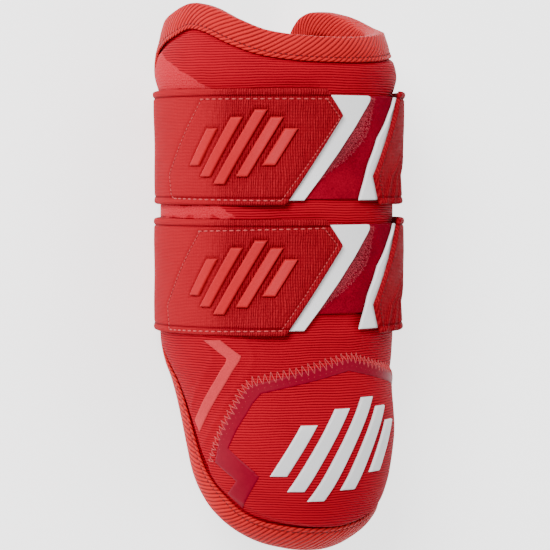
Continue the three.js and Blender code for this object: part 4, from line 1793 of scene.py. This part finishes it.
class StrapKind(Enum):
    """The two straps' own stitching."""

    UPPER = StrapStitching(
        ((-68.5, 0.91), (-10.1, 0.91)),
        ((-10.1, 0.91), (-3.8, 0.75), (-29.8, 0.05)),
        ((-30.9, 0.04), (-58.0, 0.045), (-86.6, 0.055)),
        ((-86.6, 0.055), (-89.4, 0.07), (-92.0, 0.263), (-68.5, 0.91)),
        0.05,
    )
    LOWER = StrapStitching(
        ((-69.8, 0.895), (-11.3, 0.923)),
        ((-11.3, 0.923), (-4.9, 0.775), (-29.7, 0.062)),
        ((-30.5, 0.048), (-60.0, 0.034), (-89.4, 0.03)),
        ((-89.4, 0.03), (-91.1, 0.041), (-93.6, 0.24), (-69.8, 0.895)),
        0.18,
    )


@dataclass
class Strap(Guard):
    """A wide elastic strap with its two tabs, its loop patch and its raised mark."""

    kind: StrapKind
    prefix: str
    foot: float
    width: float
    thickness: float = 2.0
    bend: float = 4.0  # the rounding where the strap turns onto its flat back
    low_gap: float = 0.8  # between the strap and the skin where it lies on the pad
    high_gap: float = 3.9  # and where it lies on the tabs
    degree: float = 0.96  # millimetres along the strap for each degree
    slanted: float = 0.3  # the share of the strap's length over which each end's slant fades
    cut_edge: float = 0.9  # the thickness at the cut edge, and the radius of its rounding
    seam_dip: float = 0.42
    fold_rise: float = 0.75
    mark_dip: float = 0.75  # how far the elastic dips round the raised mark
    underlap: float = 3.5
    patch_base: float = 0.6
    patch_thickness: float = 0.8
    tab_base: float = 1.7
    tab_thickness: float = 1.6
    plate_foot: float = 0.04  # the tabs' and the loop patch's reach, as shares of the width
    plate_top: float = 0.95
    tab_corner: float = 3.2
    fibre: float = 0.13
    mark: tuple[float, float] = (44.0, 32.0)
    mark_turn: float = -49.0

    def tip(self, across: Array) -> Array:
        """Give the angle of the strap's free end."""
        return read_row(STRAP_TIP, across)

    def anchor(self, across: Array) -> Array:
        """Give the angle of the strap's sewn end."""
        return read_row(STRAP_ANCHOR, across)

    def rise(self, turn: Array, across: Array) -> Array:
        """Give how high the strap's inner face lies over the skin, which rises over the tabs.

        Args:
            turn: the angles from the crown.
            across: the shares of the way up the strap.

        Returns:
            The heights.
        """
        over_tip = 1 - smoothstep(self.tip(across) - turn, 7, 34)
        over_anchor = 1 - smoothstep(turn + 360 - self.anchor(across), 12, 62)
        return lerp(self.low_gap, self.high_gap, np.maximum(over_tip, over_anchor))

    def point(self, turn: Array, across: Array, height: Array) -> Array:
        """Give points over the strap's inner face, flat where the strap's back rests.

        Args:
            turn: the angles from the crown.
            across: the shares of the way up the strap.
            height: how far over the inner face.

        Returns:
            The points, in the form's frame.
        """
        y = self.foot + across * self.width
        points = self.shop.form.point(turn, y, self.rise(turn, across) + height)
        points[..., 1] = np.broadcast_to(y, points.shape[:-1])
        floor = np.maximum(self.thickness - height, 0.0)
        points[..., 2] = rounded_max(points[..., 2], floor, self.bend)
        return points

    def turn_at(self, s: Array, across: Array) -> Array:
        """Give the angle at a share of the strap's length, slanted only near its ends.

        Args:
            s: the shares from the sewn end to the tip.
            across: the shares of the way up the strap.

        Returns:
            The angles from the crown.
        """
        middle = 0.5
        even = lerp(self.anchor(middle) - 360, self.tip(middle), s)
        near_tip = np.maximum(s - (1 - self.slanted), 0) / self.slanted
        near_anchor = np.maximum(self.slanted - s, 0) / self.slanted
        even = even + near_tip * (self.tip(across) - self.tip(middle))
        return even + near_anchor * (self.anchor(across) - self.anchor(middle))

    def along(self, turn: Array) -> Array:
        """Give the millimetres along the strap, from its sewn end, at an angle."""
        return (turn - (self.anchor(0.5) - 360)) * self.degree

    def hems(self, v: Array) -> Array:
        """Give how far the folded hems stand up, and the grooves beside them dip."""
        top = sum(rise * ridge(self.width - v, off, half) for off, half, rise in TOP_HEM)
        return top + sum(rise * ridge(v, off, half) for off, half, rise in FOOT_HEM)

    def beside_mark(self, x: Array, v: Array) -> Array:
        """Give how far places on the strap lie from the outlines of its raised mark.

        Args:
            x: the millimetres along the strap.
            v: the millimetres up it.

        Returns:
            The distances.
        """
        middle, nearest = float(self.along(self.mark_turn)), np.full(x.shape, np.inf)
        for bar in mark_outlines(self.mark):
            corners = [(middle + across, up + self.width / 2) for across, up in bar]
            nearest = np.minimum(nearest, segment_distance(x, v, corners, closed=True))
        return nearest

    def relief(self, turn: Array, across: Array) -> Array:
        """Give the outer face's height over the inner face: hems, seams and wrinkles.

        Args:
            turn: the angles from the crown.
            across: the shares of the way up the strap.

        Returns:
            The heights.
        """
        x, v = self.along(turn), across * self.width
        sewn = self.kind.value
        rows = [*sewn.top, *sewn.tip_side[1:], *sewn.foot, *sewn.far_side[1:-1]]
        corners = [(float(self.along(at)), share * self.width) for at, share in rows]
        seam = segment_distance(x, v, corners, closed=True)
        from_tip = (self.tip(across) - turn) * self.degree
        from_anchor = (turn + 360 - self.anchor(across)) * self.degree
        height = self.thickness + self.hems(v) - self.seam_dip * ridge(seam, 0, 1.5)
        height = height + 0.3 * ridge(from_tip, 1.8, 1.9)
        stitched = smoothstep(x, corners[0][0] - 4, corners[0][0] + 8)
        pucker = np.sin(x * 2.1 + 1.7 * np.sin(v * 0.23) + 0.9 * np.sin(v * 0.71 + x * 0.31))
        height = height + 0.1 * pucker * stitched * smoothstep(seam, 0.5, 3)
        height = height + 0.14 * np.sin(v / 5.1 + x / 17) + 0.12 * np.sin(x / 9.0 - v / 13)
        for start, lean in SEWN_FOLDS:
            fold = ridge(from_anchor - start - lean * (v - 6), 0, 2.1)
            height = height + self.fold_rise * fold * (1 - smoothstep(v, 14, 32))
        height = height - self.mark_dip * ridge(self.beside_mark(x, v), 0.35, 0.95)
        from_side = np.minimum(v, self.width - v)
        free = np.minimum(from_side, np.minimum(from_tip, from_anchor) * 0.8)
        return lerp(self.cut_edge, height, rounded_rim(free, self.cut_edge))

    def band(self) -> None:
        """Build the strap itself, from its sewn end round the back to its tip."""
        runs, start = [np.zeros(1)], 0.0
        for steps, share in BAND_RUNS:
            runs.append(start + share * shares(steps)[1:])
            start += share
        foot_hem, top_hem = 4.4, self.width - 6
        rows = np.concatenate([
            np.linspace(0, foot_hem, 15), np.linspace(foot_hem, top_hem, 50)[1:-1],
            np.linspace(top_hem, self.width, 20),
        ])
        s, across = np.meshgrid(np.concatenate(runs), rows / self.width, indexing="ij")
        turn = self.turn_at(s, across)
        inner = self.point(turn, across, np.zeros_like(turn))
        outer = self.point(turn, across, self.relief(turn, across))
        flat = np.stack([self.along(turn), across * self.width], axis=-1) * MM
        made = self.shop.sheet(f"{self.prefix}_elastic", outer, inner, flat)
        self.shop.dress(made, self.finishes[Finish.ELASTIC], "elastic", [f"{self.prefix}_strap"])
        steps = np.linalg.norm(np.diff((inner + outer) / 2, axis=0), axis=-1).sum(axis=0)
        share = np.gradient(across[0])
        area = float((steps * share).sum() / share.sum()) * self.width * MM * MM
        self.width * MM

    def plate(self, name: str, node: str, finish: Finish, left: Callable[[Array], Array],
              right: Callable[[Array], Array], heights: tuple[float, float, float],
              low: float | None = None, corner: float = 0.0) -> None:
        """Lay a flat piece over the skin between two edges that run across the strap.

        Args:
            name: the piece's name.
            node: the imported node's name after the strap's own.
            finish: its finish.
            left: gives the left edge's angle by the share across.
            right: gives the right edge's angle.
            heights: the inner face's height, the thickness and the rounding of the rim.
            low: where across the strap it begins, where that isn't the tabs' own place.
            corner: the radius of the corner at the top right.
        """
        base, thickness, rim = heights
        low = self.plate_foot if low is None else low
        rows = crowded((self.plate_top - low) * self.width, PLATE_STEPS, 60)
        across = low + rows / self.width
        start, end = left(across), right(across)
        if corner:
            end = end - corner * (1 - rounded_rim(rows[-1] - rows, corner)) / self.degree
        long = float((end - start).mean()) * self.degree
        columns = crowded(long, PLATE_STEPS, 40) / long
        turn = lerp(start[None, :], end[None, :], columns[:, None])
        grid = np.broadcast_to(across, turn.shape)
        from_side = np.minimum(columns, 1 - columns)[:, None] * (end - start) * self.degree
        away = np.minimum(from_side, np.minimum(rows, rows[-1] - rows)[None, :])
        edge = rounded_rim(away, rim)
        sway = 0.08 * np.sin(grid * 19 + turn / 4)
        y = self.foot + grid * self.width
        form = self.shop.form
        outer = form.point(turn, y, base + thickness * lerp(0.45, 1, edge) + sway)
        inner = form.point(turn, y, base + thickness * lerp(0.35, 0, edge) + sway)
        flat = np.stack([self.along(turn), y], axis=-1) * MM
        made = self.shop.sheet(f"{self.prefix}_{name}", outer, inner, flat)
        slot = "loop_cloth" if finish is Finish.LOOPS else "white_rubber"
        self.shop.dress(made, self.finishes[finish], slot, [f"{self.prefix}_{node}"])
        if finish is Finish.LOOPS:
            longest = float((end - start).max()) * self.degree
            area = float(((end - start) * self.degree * np.gradient(rows)).sum()) * MM * MM
            longest * MM
            float(rows[-1]) * MM

    def plates(self) -> None:
        """Lay the loop patch and the two tabs under the strap's ends."""
        self.plate("loops", "loop_patch", Finish.LOOPS,
                   lambda at: self.tip(at) - 2 * self.underlap,
                   lambda at: self.anchor(at) + 2 * self.underlap,
                   (self.patch_base, self.patch_thickness, 0.5), low=self.kind.value.patch_foot)
        heights = (self.tab_base, self.tab_thickness, 0.6)
        self.plate("tip_tab", "strap_tab", Finish.WHITE_RUBBER,
                   lambda at: self.tip(at) - self.underlap,
                   lambda at: read_row(TAB_EDGE, at), heights, corner=self.tab_corner)
        self.plate("sewn_tab", "anchor_tab", Finish.WHITE_RUBBER,
                   lambda at: read_row(ANCHOR_TAB_EDGE, at),
                   lambda at: self.anchor(at) + self.underlap, heights)

    def on_strap(self, places: Sequence[tuple[float, float]], step: float, lift: float) -> Array:
        """Walk between places on the strap, at a height over its outer face.

        Args:
            places: angles and shares of the way up.
            step: the length of a step.
            lift: the height over the strap's outer face.

        Returns:
            The points, in the form's frame.
        """
        corners = np.array([(at * self.degree, share * self.width) for at, share in places])
        walk = along_line(corners, step)
        turn, across = walk[:, 0] / self.degree, walk[:, 1] / self.width
        return self.point(turn, across, self.relief(turn, across) + lift)

    def stitches(self) -> None:
        """Sew the loop of pale stitches, dark beads of painted shade at their needle holes, and the
        dark row at the sewn end.
        """
        sewn = self.kind.value
        step, inset = 0.8, 1.9
        for name, places, row in (
            ("top_stitches", sewn.top, COARSE_ROW), ("foot_stitches", sewn.foot, COARSE_ROW),
            ("tip_stitches", sewn.tip_side, FINE_ROW), ("side_stitches", sewn.far_side, FINE_ROW),
        ):
            label = f"{self.prefix}_{name}"
            thread = self.on_strap(places, step, 0.12)
            self.stitch(label, thread, Finish.PALE_THREAD, "elastic", row)
            # Painted shade: dark beads of red thread at the needle holes between the pale stitches
            # stand for the holes' shade.
            hole_shade = self.on_strap(places, row.pitch / 2, 0.02)[1:]
            self.stitch(f"{label}_holes", hole_shade, Finish.RED_THREAD, "elastic",
                        Sewing(row.pitch, 0.62, 0.5))
        end = [(float(self.anchor(at)) - 360 + inset, at) for at in np.linspace(0.06, 0.93, 12)]
        self.stitch(f"{self.prefix}_sewn_end", self.on_strap(end, step, 0.0), Finish.RED_THREAD,
                    "elastic", SEWN_END_ROW)

    def pile(self) -> None:
        """Stand pale fibres on the loop patch along the tip's tab, thinner away from it."""
        form, finish, under_tab = self.shop.form, self.finishes[Finish.PALE_PILE], 0.8
        across = np.linspace(0.14, 0.93, 60)
        start = read_row(TAB_EDGE, across) - under_tab
        share = smoothstep(across, 0.1, 0.6) * (1 - 0.5 * smoothstep(across, 0.6, 0.93))
        t = np.linspace(0, 1, 5)[:, None]
        base = self.patch_base + self.patch_thickness + 0.25
        for number, (reach, length, density) in enumerate(PILE_STRIPS, 1):
            turn = start[None, :] + t * (0.01 + reach * share[None, :])
            y = np.broadcast_to(self.foot + across * self.width, turn.shape)
            outer, inner = (form.point(turn, y, height) for height in (base, base - 0.1))
            flat = form.flat(turn, y) * MM
            made = self.shop.sheet(f"{self.prefix}_tab_pile_{number}", outer, inner, flat)
            sizes = {"Length": length, "Thickness": self.fibre}
            PathTrees.run(self.trees.pile, made, finish, sizes, density)
            self.shop.dress(made, finish, "white_rubber")

    def mark_point(self, x: Array, y: Array, height: Array) -> Array:
        """Lay a flat place of the mark on the strap."""
        turn = self.mark_turn + x / self.degree
        return self.point(turn, 0.5 + y / self.width, self.thickness + height)

    def build(self) -> None:
        """Build and dress the strap's pieces."""
        self.band()
        self.plates()
        self.stitches()
        self.pile()
        raised_mark(self, f"{self.prefix}_mark", self.mark, self.mark_point,
                    Finish.CORAL_RUBBER, "coral_rubber")


@dataclass(frozen=True)
class SoftLight:
    """A large soft light that looks at the guard."""

    name: str
    place: tuple[float, float, float]
    size: float
    power: float


@dataclass(frozen=True)
class Studio:
    """The pale floor, the soft lights and the camera at the photograph's angle, in metres."""

    lean: float = 34.0  # how far the view leans from straight above, to the guard's left
    away: float = 1.16  # how far from the floor under the target it stands
    over_top: float = 0.04705  # how far it stands up the arm from what it looks at
    lens: float = 164.2
    sensor: float = 36.0
    target: tuple[float, float, float] = (-0.0013, -0.0002, 0.0432)
    world: float = 0.5
    glow: float = 1.6  # the floor's own light, as on a light table
    floor_reach: float = 3.0
    lights: tuple[SoftLight, ...] = (
        SoftLight("key", (-1.3, 0.8, 1.3), 0.7, 60.0),
        SoftLight("fill", (0.9, -0.6, 1.2), 1.2, 12.0),
        SoftLight("rim", (0.5, 1.2, 0.7), 0.8, 8.0),
    )

    def floor(self) -> None:
        """Lay the plain pale floor that the guard rests on."""
        far = self.floor_reach
        corners = [(-far, -far, 0), (far, -far, 0), (far, far, 0), (-far, far, 0)]
        mesh = bpy.data.meshes.new("floor")
        mesh.from_pydata(corners, [], [(0, 1, 2, 3)])
        floor = bpy.data.objects.new("floor", mesh)
        bpy.context.collection.objects.link(floor)
        paint = bpy.data.materials.new("floor")
        paint.use_nodes = True
        shader = paint.node_tree.nodes["Principled BSDF"]
        shader.inputs["Base Color"].default_value = (0.93, 0.93, 0.93, 1)
        shader.inputs["Roughness"].default_value = 0.9
        shader.inputs["Emission Color"].default_value = (1, 1, 1, 1)
        shader.inputs["Emission Strength"].default_value = self.glow
        mesh.materials.append(paint)

    def light(self) -> None:
        """Set the pale world and hang the soft lights."""
        world = bpy.data.worlds.new("studio")
        world.use_nodes = True
        back = world.node_tree.nodes["Background"]
        back.inputs["Color"].default_value = (1, 1, 1, 1)
        back.inputs["Strength"].default_value = self.world
        bpy.context.scene.world = world
        for lamp in self.lights:
            data = bpy.data.lights.new(lamp.name, "AREA")
            data.energy, data.size = lamp.power, lamp.size
            hung = bpy.data.objects.new(lamp.name, data)
            hung.location = lamp.place
            looking = Vector(self.target) - Vector(lamp.place)
            hung.rotation_euler = looking.to_track_quat("-Z", "Y").to_euler()
            bpy.context.collection.objects.link(hung)

    def camera(self) -> None:
        """Set the camera over the guard, leaning to its left."""
        angle = math.radians(self.lean)
        leaning = Vector((-math.sin(angle), 0, math.cos(angle)))
        target = Vector(self.target)
        place = target + leaning * (self.away - target.z * math.cos(angle))
        place.y += self.over_top
        back = (place - target).normalized()
        right = Vector((0, 1, 0)).cross(back).normalized()
        data = bpy.data.cameras.new("view")
        data.lens, data.sensor_width = self.lens, self.sensor
        camera = bpy.data.objects.new("view", data)
        turned = Matrix((right, back.cross(right), back)).transposed()
        camera.matrix_world = Matrix.Translation(place) @ turned.to_4x4()
        bpy.context.collection.objects.link(camera)
        bpy.context.scene.camera = camera

    def build(self) -> None:
        """Set up the studio."""
        self.floor()
        self.light()
        self.camera()


def main() -> None:
    """Build the guard in order."""
    logging.basicConfig(level=logging.INFO, format="%(message)s")
    shop, finishes, trees = Workshop(), Materials(), PathTrees()
    shell = PaddedShell(shop, finishes, trees)
    shell.build()
    ElbowCup(shop, finishes, trees, shell=shell).build()
    for kind, (foot, top) in zip(StrapKind, STRAP_SPANS):
        prefix = kind.name.lower()
        Strap(shop, finishes, trees, kind, prefix, foot, width=top - foot).build()
    Studio().build()


if __name__ == "__main__":
    main()
